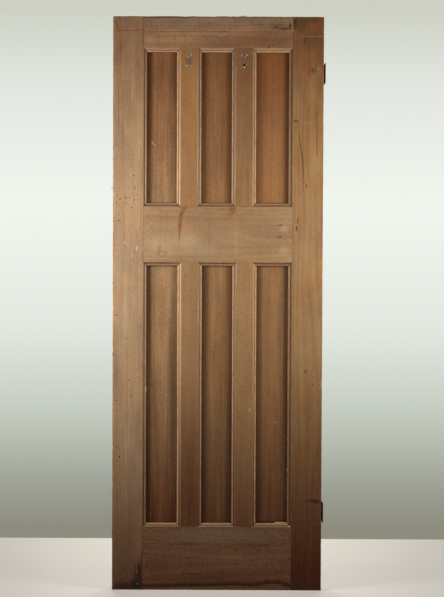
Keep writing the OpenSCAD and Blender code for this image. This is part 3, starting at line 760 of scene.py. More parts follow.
# Each board's look: light and dark wood, where in the pattern it was cut, and what is its own; on the panels,
# the darkening beside the upright mouldings is painted shade with some dirt
LOOKS = {
    "lock_stile": dict(
        light=(202, 167, 128), dark=(158, 121, 87), shift=(0.7, 0.1, 2.3), streaky=0.9, patina=0.3,
        low_dirt=0.79, low_reach=(0.62, -0.02), high_dirt=0.48, gritty=0.35, marks=LOCK_STILE_MARKS),
    "hanging_stile": dict(
        light=(179, 142, 96), dark=(137, 99, 63), shift=(3.1, 0.4, 0.6), heart=(3.48, 0.62, 0), streaky=0.4,
        patina=0.0, low_dirt=1.0, low_reach=(0.95, 0.0), high_dirt=0.75, high_reach=(1.62, 2.08),
        gritty=0.3, clouds=0.8, marks=HANGING_STILE_MARKS),
    "top_rail": dict(
        light=(206, 164, 124), dark=(160, 116, 78), shift=(1.9, 0.2, 5.1), heart=(3.85, 0.45, 0),
        streaky=0.5, patina=0.4, high_dirt=0.2, marks=TOP_RAIL_MARKS),
    "middle_rail": dict(
        light=(183, 147, 107), dark=(147, 112, 77), shift=(0.3, 0.9, 8.2), heart=(1.6, 1.15, 0),
        streaky=0.3, patina=0.15, high_dirt=0.0, gritty=0.4, marks=MIDDLE_RAIL_MARKS),
    "bottom_rail": dict(
        light=(184, 140, 102), dark=(128, 86, 54), shift=(2.6, 0.3, 1.4), heart=(2.7, 0.55, 0),
        streaky=0.3, patina=0.35, low_dirt=0.52, gritty=1.0, marks=BOTTOM_RAIL_MARKS),
    "upper_left_muntin": dict(
        light=(190, 142, 90), dark=(150, 102, 58), shift=(4.1, 0.6, 0.2), streaky=0.5, patina=0.15,
        high_dirt=0.15, gritty=0.35, marks=UPPER_LEFT_MUNTIN_MARKS),
    "upper_right_muntin": dict(
        light=(174, 129, 85), dark=(130, 91, 55), shift=(5.3, 0.1, 0.9), streaky=0.5, patina=0.15,
        high_dirt=0.45, gritty=0.35, marks=UPPER_RIGHT_MUNTIN_MARKS),
    "lower_left_muntin": dict(
        light=(186, 143, 96), dark=(143, 103, 65), shift=(6.2, 0.8, 3.3), streaky=0.5, patina=0.2,
        low_dirt=0.82, low_reach=(0.92, 0.28), gritty=0.35, marks=LOWER_LEFT_MUNTIN_MARKS),
    "lower_right_muntin": dict(
        light=(182, 142, 96), dark=(144, 103, 64), shift=(7.7, 0.5, 4.4), streaky=0.6, patina=0.15,
        low_dirt=0.92, gritty=0.45, marks=LOWER_RIGHT_MUNTIN_MARKS),
    "upper_left_panel": dict(
        light=(193, 153, 108), dark=(137, 96, 61), shift=(8.3, 0.2, 0.4), patina=0.1, high_dirt=0.75,
        high_reach=PANEL_HEAD_REACH, edge_dirt_and_shade=(0.65, 0.6), gritty=0.65, marks=UPPER_LEFT_PANEL_MARKS),
    "upper_centre_panel": dict(
        light=(180, 134, 86), dark=(132, 90, 54), shift=(9.6, 0.7, 1.9), patina=0.1, high_dirt=0.45,
        high_reach=PANEL_HEAD_REACH, edge_dirt_and_shade=(0.6, 0.6)),
    "upper_right_panel": dict(
        light=(191, 135, 82), dark=(141, 92, 51), shift=(1.2, 0.9, 6.6), streaky=0.7, patina=0.1,
        high_dirt=0.75, high_reach=(1.6, 2.03), edge_dirt_and_shade=(0.45, 0.8), gritty=0.55),
    "lower_left_panel": dict(
        light=(198, 158, 112), dark=(140, 99, 62), shift=(6.8, 0.5, 7.7), patina=0.1, low_dirt=1.0,
        low_reach=(0.95, 0.05), edge_dirt_and_shade=(0.8, 0.45), gritty=0.65, marks=LOWER_LEFT_PANEL_MARKS),
    "lower_centre_panel": dict(
        light=(172, 129, 86), dark=(124, 86, 52), shift=(3.7, 0.1, 9.2), patina=0.1, low_dirt=0.85,
        low_reach=(0.85, 0.05), edge_dirt_and_shade=(0.8, 0.75)),
    "lower_right_panel": dict(
        light=(176, 132, 86), dark=(130, 90, 54), shift=(5.5, 0.3, 2.8), patina=0.1, low_dirt=0.84,
        low_reach=(0.95, 0.05), edge_dirt_and_shade=(0.75, 0.8), marks=LOWER_RIGHT_PANEL_MARKS),
}
PINE = {node: pine(node, **look) for node, look in LOOKS.items()}
STILE_ENDS = end_grain("Stile end grain", (122, 92, 64), (74, 50, 32), (0.2, 0.1, 0), "z")
RAIL_ENDS = end_grain("Tenon end grain", (128, 94, 62), (78, 52, 33), (0.4, 0.3, 0), "x")
WEDGE_ENDS = end_grain("Wedge end grain", (104, 76, 50), (64, 43, 28), (0.9, 0.2, 0), "x")
UPRIGHT_MOULDING = moulding_pine("Upright moulding pine", (186, 144, 102), (140, 100, 64), "z", (2, 0, 3),
                                 low_dirt=0.78, marks=UPRIGHT_MOULDING_MARKS)
CROSS_MOULDING = moulding_pine("Cross moulding pine", (184, 145, 106), (142, 105, 72), "x", (5, 0, 1),
                               low_dirt=0.1, marks=CROSS_MOULDING_MARKS)
IRON = rusty_iron("Rusty hinge iron", (0, 0, 0))
PIN_IRON = rusty_iron("Rusty pin iron", (3, 1, 2))


def paint(mesh, materials):
    """Gives a mesh these materials and no others."""
    mesh.materials.clear()
    for material in materials:
        mesh.materials.append(material)


def show(name, mesh, materials):
    """An object for a mesh that already lies in its place."""
    obj = bpy.data.objects.new(name, mesh)
    bpy.context.scene.collection.objects.link(obj)
    paint(mesh, materials)
    return obj


def settle(obj):
    """Keeps the result of the object's modifiers and removes them."""
    graph = bpy.context.evaluated_depsgraph_get()
    mesh = bpy.data.meshes.new_from_object(obj.evaluated_get(graph))
    obj.modifiers.clear()
    obj.data = mesh
    return obj


def rounded(obj, width, segments, **settings):
    """Rounds an object's edges."""
    bevel = obj.modifiers.new("Rounded edges", "BEVEL")
    bevel.width = width
    bevel.segments = segments
    for name, value in settings.items():
        setattr(bevel, name, value)
    return settle(obj)


def smoothed(obj, degrees=None):
    """Shades an object smoothly, apart from edges sharper than the angle given."""
    obj.data.shade_smooth()
    if degrees:
        obj.data.set_sharp_from_angle(angle=math.radians(degrees))
    return obj


def dress(obj, node):
    """Lets the piece stand for a CAD node, on its body."""
    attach(obj, frame["nodes"][node]["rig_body"])
    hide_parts(node)
    return obj


def leave_on_door(obj):
    """Puts a piece that stands for no CAD node on the door."""
    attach(obj, "door")
    return obj


def opened(mesh):
    """A copy of a mesh to work on."""
    bm = bmesh.new()
    bm.from_mesh(mesh)
    return bm


def bench_copy(node):
    """The CAD node's shape with its loose triangles welded into whole faces."""
    bm = opened(frame["nodes"][node].data)
    bmesh.ops.remove_doubles(bm, verts=bm.verts, dist=WELD)
    bmesh.ops.dissolve_limit(bm, angle_limit=FLAT_ANGLE, verts=bm.verts, edges=bm.edges)
    return bm


def to_mesh(bm, name, turn_outward=False):
    if turn_outward:
        bmesh.ops.recalc_face_normals(bm, faces=bm.faces)
    mesh = bpy.data.meshes.new(name)
    bm.to_mesh(mesh)
    bm.free()
    return mesh


def skin(bm, rings):
    """Joins rings of corners into a closed solid."""
    for a, b in zip(rings, rings[1:]):
        for i in range(len(a)):
            bm.faces.new((a[i - 1], a[i], b[i], b[i - 1]))
    bm.faces.new(rings[0])
    bm.faces.new(reversed(rings[-1]))


def shift_all(moves):
    """Moves each corner by its own amount, once all are known."""
    for v, move in moves.items():
        v.co += move


def slice_along(bm, axis, low, high, step):
    """Cuts the faces across one axis at even steps."""
    count = max(1, round((high - low) / step))
    normal = Vector(float(i == axis) for i in range(3))
    for i in range(1, count):
        at = normal * (low + (high - low) * i / count)
        everything = bm.verts[:] + bm.edges[:] + bm.faces[:]
        bmesh.ops.bisect_plane(bm, geom=everything, dist=0.1 * WELD, plane_co=at, plane_no=normal)


def near(value, *wanted):
    return any(abs(value - w) < 2 * WELD for w in wanted)


def arris_width(edge, grain_axis):
    """How far an edge of a member is worn away: outer arrises most, joints least, hidden edges not at all."""
    first, second = (v.co for v in edge.verts)
    middle = (first + second) / 2
    outer = near(middle.x, DOOR_LOW.x, DOOR_HIGH.x) or near(middle.z, DOOR_LOW.z, DOOR_HIGH.z)
    on_face = near(first.y, FACE_Y, -FACE_Y) and near(second.y, first.y)
    on_corner = (near(first.x, DOOR_LOW.x, DOOR_HIGH.x) and near(second.x, first.x)
                 and near(first.z, DOOR_LOW.z, DOOR_HIGH.z) and near(second.z, first.z))
    if not (on_face or on_corner) or len(edge.link_faces) != 2 or edge.calc_face_angle() < 1:
        return 0.0
    if outer:
        return OUTER_ARRIS
    along = abs((second - first).normalized()[grain_axis]) > 0.9
    return INNER_ARRIS if along else JOINT_ARRIS


def ease_arrises(node, bm, grain_axis, materials):
    """Rounds a member's arrises, and gives the rounded faces the last material slot."""
    weight = bm.edges.layers.float.new("bevel_weight_edge")
    for edge in bm.edges:
        edge[weight] = arris_width(edge, grain_axis) / OUTER_ARRIS
    obj = show("worn_" + node, to_mesh(bm, node), materials)
    return rounded(obj, OUTER_ARRIS, 2, limit_method="WEIGHT", material=len(materials) - 1)


def roll(place, size, salt):
    """Smooth noise from -1 to 1, with bumps about as large as size."""
    return noise.noise(Vector(place) / size + Vector((salt, 2 * salt, 3 * salt)))


def wear_member(obj, grain_axis, salt):
    """Chips along the arrises and slight waves over the faces."""
    bm = opened(obj.data)
    low, high = ([pick(v.co[i] for v in bm.verts) for i in range(3)] for pick in (min, max))
    for axis, step in ((grain_axis, SLICE), (2 - grain_axis, PLANK_STRIP)):
        slice_along(bm, axis, low[axis], high[axis], step)
    arris = bm.faces.layers.float.new("arris")
    arris_slot = len(obj.data.materials) - 1
    worn = set()
    for face in bm.faces:
        if face.material_index == arris_slot:
            face[arris] = 1.0
            face.material_index = 0
            worn.update(face.verts)
        elif abs(face.normal[grain_axis]) > 0.7:
            face.material_index = 1
    bm.normal_update()
    moves = {}
    for v in bm.verts:
        if v in worn:
            chip = max(0.0, roll(v.co, CHIP_LENGTH, salt) - 0.28) * CHIP_DEPTH
            ragged = max(0.0, roll(v.co, RAGGED_LENGTH, salt + 1)) * RAGGED_DEPTH
            moves[v] = -v.normal * (chip + ragged)
            if v.co.z > DOOR_HIGH.z - 2 * OUTER_ARRIS:
                moves[v].z -= max(0.0, roll(v.co, TEAR_LENGTH, salt + 3) + 0.15) * TORN_TOP
        elif near(abs(v.co.y), FACE_Y):
            moves[v] = Vector((0, roll(v.co, WAVE_LENGTH, salt + 2) * WAVE_DEPTH, 0))
    shift_all(moves)
    obj.data = to_mesh(bm, obj.name)
    return obj


def winding(points):
    """Points along a line through the given ones, no further apart than a step."""
    path = []
    for (x0, z0), (x1, z1) in zip(points, points[1:]):
        count = max(1, math.ceil(math.hypot(x1 - x0, z1 - z0) / WINDING_STEP))
        path += [(x0 + (x1 - x0) * i / count, z0 + (z1 - z0) * i / count) for i in range(count)]
    return path + [points[-1]]


# Cracks as lines on the front face, in mm, with their width and depth
CRACKS = {
    "lock_stile": (
        ([(-373, 2070), (-368, 2052), (-363, 2031)], 2.2, 7),
        ([(-354.5, 2011), (-354, 1965), (-354.3, 1917)], 0.9, 5),
        ([(-361.3, 1852), (-360.4, 1740), (-360.7, 1618)], 0.9, 5),
    ),
    "hanging_stile": (
        ([(266, 1708), (276, 1706.5), (284, 1707.5), (288.5, 1704), (290, 1696)], 4.4, 9),
        ([(289.5, 1701), (292, 1668), (299.6, 1603), (307, 1559), (310, 1494), (309.5, 1455)], 2.2, 8),
        ([(318.5, 1482), (320.3, 1473), (320, 1464)], 2.6, 5),
    ),
    "top_rail": (
        ([(-24, 2028), (20, 2027.4), (81, 2027.6)], 1.0, 4),
    ),
}


def crack_cutter(points, width, depth):
    """A thin wedge that runs along a line on the front face and tapers at both ends."""
    bm = bmesh.new()
    path = winding(points)
    last = len(path) - 1
    rings = []
    for i, (x, z) in enumerate(path):
        share = math.sin(math.pi * (0.06 + 0.88 * i / last))
        run = (Vector(path[min(last, i + 1)]) - Vector(path[max(0, i - 1)])).normalized()
        side = Vector((run.y, -run.x)) * width * share / 2
        x += roll((x * MM, 0, z * MM), 6 * MM, 4) * CRACK_JAG
        corners = ((x - side.x, -1, z - side.y), (x + side.x, -1, z + side.y), (x, depth * share, z))
        rings.append([bm.verts.new((px * MM, -FACE_Y + py * MM, pz * MM)) for px, py, pz in corners])
    skin(bm, rings)
    return show("crack", to_mesh(bm, "crack", turn_outward=True), [HOLLOW])


def socket_id(tree, name):
    """The identifier by which a modifier knows a tree's input."""
    return next(i.identifier for i in tree.interface.items_tree if i.item_type == "SOCKET"
                and i.in_out == "INPUT" and i.name == name)


def grow(obj, tree, settings):
    """Runs a Geometry Nodes tree on an object with the given sizes, and keeps the mesh it makes."""
    modifier = obj.modifiers.new(tree.name, "NODES")
    modifier.node_group = tree
    for name, value in settings.items():
        modifier[socket_id(tree, name)] = value
    return settle(obj)


def strewn_tree(name, piece_kind, piece_inputs, roughen):
    """Small pieces strewn over a patch, sized between two limits and turned to stand on it."""
    sheet, given, result = new_group(
        name, "GeometryNodeTree",
        [("Patch", "Geometry"), ("Density", "Float"), ("Smallest", "Vector"), ("Largest", "Vector"),
         ("Seed", "Int"), ("Finish", "Material")],
        [("Geometry", "Geometry")])
    spread = sheet.add("GeometryNodeDistributePointsOnFaces", {
        "Mesh": given["Patch"], "Density": given["Density"], "Seed": given["Seed"]}).outputs
    size = sheet.first("FunctionNodeRandomValue", {
        0: given["Smallest"], 1: given["Largest"], "Seed": given["Seed"]}, data_type="FLOAT_VECTOR")
    placed = sheet.first("GeometryNodeInstanceOnPoints", {
        "Points": spread["Points"], "Instance": sheet.add(piece_kind, piece_inputs).outputs["Mesh"],
        "Rotation": spread["Rotation"], "Scale": size})
    real = sheet.first("GeometryNodeRealizeInstances", {0: placed})
    if roughen:
        lumps = sheet.shake(sheet.first("GeometryNodeInputPosition"), 900, 2)
        real = sheet.first("GeometryNodeSetPosition", {
            "Geometry": real, "Offset": sheet.scaled(lumps, roughen)})
    finished = sheet.first("GeometryNodeSetMaterial", {"Geometry": real, "Material": given["Finish"]})
    sheet.feed(result, {"Geometry": finished})
    return sheet.tree


BORES = strewn_tree("Worm holes", "GeometryNodeMeshCylinder", {"Vertices": 8, "Radius": 1.0, "Depth": 2.0}, 0)
CRUMBS = strewn_tree("Filler crumbs", "GeometryNodeMeshIcoSphere", {"Radius": 1.0, "Subdivisions": 2},
                     1.2 * MM)


def strew(name, tree, patches, density, smallest, largest, seed, finish):
    """Strews pieces over flat patches of the front face, each given in mm as left, right, low and high."""
    bm = bmesh.new()
    for left, right, low, high in patches:
        corners = ((left, low), (right, low), (right, high), (left, high))
        bm.faces.new([bm.verts.new((x * MM, -FACE_Y, z * MM)) for x, z in corners])
    return grow(show(name, to_mesh(bm, name), []), tree, {
        "Density": float(density), "Smallest": [size * MM for size in smallest],
        "Largest": [size * MM for size in largest], "Seed": seed, "Finish": finish})


# Worm holes: patches in mm and holes in each square metre
WORMED = {
    "middle_rail": (((-255, 250, 1215, 1380),), 120),
    "bottom_rail": (((-255, 250, 40, 220),), 250),
    "upper_left_muntin": (((-128, -80, 1430, 1880),), 100),
    "lower_right_muntin": (((72, 124, 300, 1150),), 150),
}
# Larger bores one by one, in mm as x, z and radius
BORED = {
    "lock_stile": (
        (-364, 1434, 1.4), (-354, 1423, 1.7), (-367, 1408, 1.3), (-310, 1566, 1.4), (-311, 1546, 1.2),
        (-305, 1508, 1.5), (-301, 1463, 1.3), (-295, 1441, 1.2), (-333, 1427, 1.7), (-319, 1428, 1.3),
        (-304, 1420, 1.5), (-313, 1392, 1.7), (-332, 1407, 1.3), (-360, 1345, 1.7), (-376, 1356, 1.5),
        (-365, 1001, 1.7), (-331, 918, 1.3), (-285, 922, 1.3), (-323, 765, 1.6), (-312, 712, 1.4),
        (-366, 692, 1.6), (-355, 488, 1.9)),
    "hanging_stile": (
        (350, 782, 1.3), (362, 780, 1.2), (347, 752, 1.5), (354.5, 717, 1.3),
        (339, 634, 1.5), (284, 707, 1.2)),
    "upper_left_muntin": ((-110.4, 1945, 1.2), (-108.3, 1952, 0.8), (-97.8, 1910, 1.1), (-98, 1900, 0.9)),
    "upper_right_muntin": ((88, 1942, 1.5), (104, 1938, 1.6), (89, 1909, 1.8), (96, 1906, 3.6)),
}


def hole_cutter(node):
    """Everything that is bored into one member: worm holes and old screw holes."""
    patches, density = WORMED.get(node, ((), 0))
    obj = strew("holes", BORES, patches, density, (0.7, 0.7, 4), (1.9, 1.9, 7), len(node), HOLLOW)
    bm = opened(obj.data)
    turned = Matrix.Rotation(math.pi / 2, 4, "X")
    for x, z, radius in BORED.get(node, ()):
        at = Matrix.Translation((x * MM, -FACE_Y, z * MM)) @ turned
        bmesh.ops.create_cone(bm, cap_ends=True, segments=14, radius1=radius * 0.8 * MM,
                              radius2=radius * 1.9 * MM, depth=BORE_LENGTH, matrix=at)
    obj.data = to_mesh(bm, "holes")
    obj.data.materials.append(HOLLOW)
    return obj


def foot_cutter(points, depth, finish):
    """A shallow hollow along the foot of a rail, below a wavy line on its front."""
    outline = [(x, z + 1.5 * roll((x * MM, 0, 0), 14 * MM, 6)) for x, z in winding(points)]
    outline += [(points[-1][0], -4), (points[0][0], -4)]
    bm = bmesh.new()
    skin(bm, [[bm.verts.new((x * MM, y, z * MM)) for x, z in outline]
              for y in (-FACE_Y - 1 * MM, -FACE_Y + depth)])
    return show("worn_foot", to_mesh(bm, "worn_foot", turn_outward=True), [finish])


def cut_away(obj, *cutters):
    """Takes the cutters out of a member, whose cut faces get the cutters' finish."""
    for cutter in cutters:
        cut = obj.modifiers.new("Cut", "BOOLEAN")
        cut.operation = "DIFFERENCE"
        cut.solver = "EXACT"
        cut.material_mode = "TRANSFER"
        cut.object = cutter
    settle(obj)
    for cutter in cutters:
        bpy.data.objects.remove(cutter)
    return obj


def make_member(node, grain, ends, salt):
    """A stile, rail or muntin: eased, chipped, cracked and bored."""
    grain_axis = "xyz".index(grain)
    finish = [PINE[node], ends]
    obj = ease_arrises(node, bench_copy(node), grain_axis, finish + [HOLLOW])
    wear_member(obj, grain_axis, salt)
    paint(obj.data, finish)
    cutters = [crack_cutter(*crack) for crack in CRACKS.get(node, ())]
    if node in WORMED or node in BORED:
        cutters.append(hole_cutter(node))
    if node == "bottom_rail":
        cutters.append(foot_cutter(FOOT_LINE, FOOT_HOLLOW, PINE[node]))
    if cutters:
        cut_away(obj, *cutters)
    return dress(obj, node)


for member_nodes, member_grain, member_ends, first_salt in (
        (STILES, "z", STILE_ENDS, 3), (RAILS, "x", RAIL_ENDS, 7), (MUNTINS, "z", STILE_ENDS, 11)):
    for i, member_node in enumerate(member_nodes):
        make_member(member_node, member_grain, member_ends, first_salt + i)


def make_panel(row, column, salt):
    """A planed board with gentle waves, which knows how far each point is from the stile or muntin."""
    node = f"{row}_{column}_panel"
    bm = bench_copy(node)
    low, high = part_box(node)
    slice_along(bm, 2, low.z, high.z, 12 * MM)
    slice_along(bm, 0, low.x, high.x, 6 * MM)
    from_left = bm.verts.layers.float.new("from_left")
    from_right = bm.verts.layers.float.new("from_right")
    left, right = OPENING_X[row][column]
    for v in bm.verts:
        v[from_left] = v.co.x - left
        v[from_right] = right - v.co.x
        if near(abs(v.co.y), PANEL_Y):
            stretched = (v.co.x, v.co.y, v.co.z * 0.2)
            v.co.y += roll(stretched, PANEL_WAVE_LENGTH, salt) * PANEL_WAVE_DEPTH
    obj = show("planed_" + node, to_mesh(bm, node), [PINE[node]])
    return dress(smoothed(obj, 40), node)


for i, row_name in enumerate(ROWS):
    for j, column_name in enumerate(COLUMNS):
        make_panel(row_name, column_name, 20 + 3 * i + j)


def moulding_section():
    """Outline of a moulding: x from the frame towards the panel's middle, y up from the panel's face."""
    def arc(x, y, radius, start, end, count):
        angles = [math.radians(start + (end - start) * i / count) for i in range(count + 1)]
        return [(x + radius * math.cos(a), y + radius * math.sin(a)) for a in angles]
    bead_y = LIP_H - BEAD_DROP - BEAD_R
    ground = LIP_H - HOLLOW_DEPTH
    bead_start = 180 - math.degrees(math.asin((ground - bead_y) / BEAD_R))
    outline = [(0, 0), (0, LIP_H * 0.5), (0, LIP_H), (LIP_W * 0.6, LIP_H)]
    outline += [(LIP_W + HOLLOW_W * (1 + x), LIP_H + HOLLOW_DEPTH * y) for x, y in arc(0, 0, 1, 180, 270, 5)]
    outline += arc(MOULDING_W - BEAD_R, bead_y, BEAD_R, bead_start, 0, 8)
    outline += [(MOULDING_W, bead_y / 2), (MOULDING_W, 0)]
    return outline


def moulding_tree():
    """Two mitred lengths on opposite sides of an opening, swept from a section, worn at lip and bead."""
    sizes = ("Length", "Opening", "Step", "Width", "Lip Height", "Mitre Gap", "Wear",
             "First Spread", "Second Spread", "First Soil And Shade", "Second Soil And Shade")
    sheet, given, result = new_group(
        "Mitred mouldings", "GeometryNodeTree",
        [("Section", "Geometry"), *((size, "Float") for size in sizes),
         ("Place", "Vector"), ("Turn", "Rotation"), ("Finish", "Material")],
        [("Geometry", "Geometry")])

    def remembered(curve, kind, name, value):
        """The curve and a value of its points, which lasts through the sweep."""
        kept = sheet.add("GeometryNodeCaptureAttribute")
        kept.capture_items.new(kind, name)
        sheet.feed(kept, {0: curve, 1: value})
        return kept.outputs[0], kept.outputs[1]

    def stored(geometry, name, value, domain):
        return sheet.first("GeometryNodeStoreNamedAttribute", {
            "Geometry": geometry, "Name": name, "Value": value}, data_type="FLOAT", domain=domain)

    section = sheet.first("GeometryNodeMeshToCurve", {"Mesh": given["Section"]})
    section, section_place = remembered(
        section, "VECTOR", "Section Place", sheet.first("GeometryNodeInputPosition"))
    line = sheet.first("GeometryNodeCurvePrimitiveLine", {"Start": (0, 0, 0), "End": (1, 0, 0)})
    count = sheet.math("ADD", sheet.math("DIVIDE", given["Length"], given["Step"]), 2.0)
    line = sheet.first("GeometryNodeResampleCurve", {"Curve": line, "Count": count})
    line, share = remembered(
        line, "FLOAT", "Share", sheet.add("GeometryNodeSplineParameter").outputs["Factor"])
    swept = sheet.first("GeometryNodeCurveToMesh", {
        "Curve": line, "Profile Curve": section, "Fill Caps": True})
    across, tall, _ = sheet.split(section_place)
    inset = sheet.math("ADD", across, sheet.times(given["Mitre Gap"], 0.7071))
    clear = sheet.minus(given["Length"], sheet.times(inset, 2.0))
    along = sheet.times_plus(share, clear, inset)
    mitred = sheet.first("GeometryNodeSetPosition", {
        "Geometry": swept, "Position": sheet.joined(along, across, tall)})
    to_end = sheet.times(clear, sheet.math("MINIMUM", share, sheet.minus(1.0, share)))
    mitred = stored(mitred, "across", sheet.math("DIVIDE", across, given["Width"]), "POINT")
    mitred = stored(mitred, "height", tall, "POINT")
    mitred = stored(mitred, "to_end", to_end, "POINT")
    ends = sheet.first("GeometryNodeMeshLine", {
        "Count": 2, "Start Location": (0, 0, 0),
        "Offset": sheet.joined(given["Length"], given["Opening"], 0.0)}, mode="END_POINTS")
    which = sheet.first("GeometryNodeInputIndex")
    spread, soil_and_shade = (
        sheet.times_plus(which, sheet.minus(given["Second " + name], given["First " + name]),
                         given["First " + name]) for name in ("Spread", "Soil And Shade"))
    pair = sheet.first("GeometryNodeInstanceOnPoints", {
        "Points": ends, "Instance": mitred,
        "Rotation": sheet.joined(0.0, 0.0, sheet.times(which, math.pi)),
        "Scale": sheet.joined(1.0, spread, 1.0)})
    pair = stored(pair, "soil_and_shade", soil_and_shade, "INSTANCE")
    pair = sheet.first("GeometryNodeRealizeInstances", {0: pair})
    pair = sheet.first("GeometryNodeTransform", {
        "Geometry": pair, "Translation": given["Place"], "Rotation": given["Turn"]})
    place = sheet.first("GeometryNodeInputPosition")
    height = sheet.first("GeometryNodeInputNamedAttribute", {"Name": "height"}, data_type="FLOAT")
    proud = sheet.ease(sheet.math("DIVIDE", height, given["Lip Height"]), 0.6, 0.95)
    dents = sheet.ease(sheet.noise(place, 55, 4, 0.6), 0.5, 0.8)
    nibbled = sheet.times(dents, proud, given["Wear"])
    inward = sheet.scaled(sheet.first("GeometryNodeInputNormal"), sheet.times(nibbled, -1.0))
    drift = sheet.scaled(sheet.shake(place, 16, 3), sheet.times(given["Wear"], 0.5))
    pair = sheet.first("GeometryNodeSetPosition", {
        "Geometry": pair, "Offset": sheet.vector("ADD", inward, drift)})
    finished = sheet.first("GeometryNodeSetMaterial", {"Geometry": pair, "Material": given["Finish"]})
    sheet.feed(result, {"Geometry": finished})
    return sheet.tree


MOULDINGS = moulding_tree()
X, Y, Z = Vector((1, 0, 0)), Vector((0, 1, 0)), Vector((0, 0, 1))


def facing(along, inward, outward):
    """The turn that lays a moulding along one direction, with its width inwards and its height outwards."""
    return Matrix((along, inward, outward)).transposed().to_euler()


def make_mouldings(row, column, face, kind):
    """The two upright or the two cross lengths round one panel on one face."""
    left, right = OPENING_X[row][column]
    bottom, top = OPENING_Z[row]
    front = face == "front"
    outward = -Y if front else Y
    depth = PANEL_Y * outward.y
    if kind == "upright":
        length, opening = top - bottom, right - left
        turn = facing(Z, -X if front else X, outward)
        place = (right if front else left, depth, bottom)
        finish = UPRIGHT_MOULDING
        spread, soil_and_shade = UPRIGHT_SPREAD[column], UPRIGHT_SOIL_AND_SHADE[column]
    else:
        length, opening = right - left, top - bottom
        turn = facing(X if front else -X, Z, outward)
        place = (left if front else right, depth, bottom)
        finish = CROSS_MOULDING
        spread, soil_and_shade = CROSS_SPREAD[row], CROSS_SOIL_AND_SHADE[row]
    node = f"{row}_{column}_{face}_{kind}_mouldings"
    bm = bmesh.new()
    corners = [bm.verts.new((x, y, 0)) for x, y in moulding_section()]
    for a, b in zip(corners, corners[1:] + corners[:1]):
        bm.edges.new((a, b))
    obj = show("worn_" + node, to_mesh(bm, node), [])
    grow(obj, MOULDINGS, {
        "Length": length, "Opening": opening, "Step": MOULDING_STEP, "Width": MOULDING_W,
        "Lip Height": LIP_H, "Mitre Gap": MITRE_GAP, "Wear": MOULDING_WEAR,
        "First Spread": spread[0], "Second Spread": spread[1],
        "First Soil And Shade": soil_and_shade[0], "Second Soil And Shade": soil_and_shade[1], "Place": place, "Turn": turn, "Finish": finish})
    bm = opened(obj.data)
    bmesh.ops.recalc_face_normals(bm, faces=bm.faces)
    bm.to_mesh(obj.data)
    bm.free()
    return dress(smoothed(obj, 38), node)


for row_name in ROWS:
    for column_name in COLUMNS:
        for face_name in FACES:
            for kind_name in ("upright", "cross"):
                make_mouldings(row_name, column_name, face_name, kind_name)


def make_wedges(node):
    """Little wedges, dark end grain outwards, slightly crushed at the corners."""
    obj = show("driven_" + node, to_mesh(bench_copy(node), node), [WEDGE_ENDS])
    return dress(rounded(obj, 0.3 * MM, 1), node)


for stile_node in STILES:
    make_wedges(stile_node + "_wedges")


def make_hinge_leaf(node, salt):
    """A leaf of pitted iron: rounded by wear, swollen and eaten by rust."""
    obj = show("rusted_" + node, to_mesh(bench_copy(node), node), [IRON])
    remesh = obj.modifiers.new("Even skin", "REMESH")
    remesh.mode = "VOXEL"
    remesh.voxel_size = 0.6 * MM
    smooth = obj.modifiers.new("Rounded by wear", "SMOOTH")
    smooth.factor = 0.4
    smooth.iterations = 2
    settle(obj)
    bm = opened(obj.data)
    bm.normal_update()
    moves = {}
    for v in bm.verts:
        scale = roll(v.co, 5 * MM, salt) * RUST_SCALE
        pit = max(0.0, roll(v.co, 1.8 * MM, salt + 1) - 0.25) * RUST_PIT
        moves[v] = v.normal * (scale - pit)
    shift_all(moves)
    obj.data = to_mesh(bm, obj.name)
    obj.data.materials.append(IRON)
    return dress(smoothed(obj), node)


def make_ironwork(node, name, finish, width):
    """A pin or a set of screws with its edges rounded."""
    obj = show(name, to_mesh(bench_copy(node), node), [finish])
    rounded(obj, width, 2, angle_limit=math.radians(40))
    return dress(smoothed(obj, 50), node)


for i, hinge_name in enumerate(ROWS):
    for j, leaf_name in enumerate(("door_leaf", "frame_leaf")):
        make_hinge_leaf(f"{hinge_name}_hinge_{leaf_name}", 40 + 2 * i + j)
    make_ironwork(f"{hinge_name}_hinge_pin", f"rusted_{hinge_name}_hinge_pin", PIN_IRON, 0.25 * MM)
    make_ironwork(f"{hinge_name}_hinge_screws", f"driven_{hinge_name}_hinge_screws", STEEL, 0.12 * MM)


def make_crumbs(name, patches, count_per_metre, seed):
    """Crumbs of filler left round the old screw holes."""
    obj = strew(name, CRUMBS, patches, count_per_metre, (0.8, 0.8, 0.4), (2.6, 2.2, 1.2), seed, FILLER)
    return leave_on_door(obj)


make_crumbs("upper_left_muntin_crumbs", ((-121, -95, 1936, 1950), (-121, -95, 1902, 1914)), 12000, 4)
make_crumbs("upper_right_muntin_crumbs", ((83, 108, 1935, 1949), (84, 106, 1896, 1914)), 14000, 9)

# Old filler that stands in the screw holes, in mm as x, z, half width and half height
PLUGS = ((-116, 1944, 2, 2), (-109.4, 1937.5, 2.6, 3.1), (-97.5, 1942, 1.8, 2.4), (-113.2, 1904.8, 3, 2.2),
         (-97.5, 1904.8, 2.7, 2.4), (85, 1941, 2.4, 2), (103.5, 1943, 2.4, 2.6), (94, 1900.5, 3.2, 3.6))
PLUG_PROUD = 1.1
PLUG_UNEVEN = 0.0002


def make_plugs():
    """Old filler left standing in the screw holes."""
    bm = bmesh.new()
    for x, z, wide, high in PLUGS:
        at = Matrix.Translation((x * MM, -FACE_Y, z * MM)) @ Matrix.Diagonal((wide, PLUG_PROUD, high, 1))
        bmesh.ops.create_icosphere(bm, subdivisions=3, radius=MM, matrix=at)
    for v in bm.verts:
        v.co *= 1 + PLUG_UNEVEN * roll(v.co, 3 * MM, 8)
    obj = show("filler_plugs", to_mesh(bm, "filler_plugs"), [FILLER])
    leave_on_door(smoothed(obj))


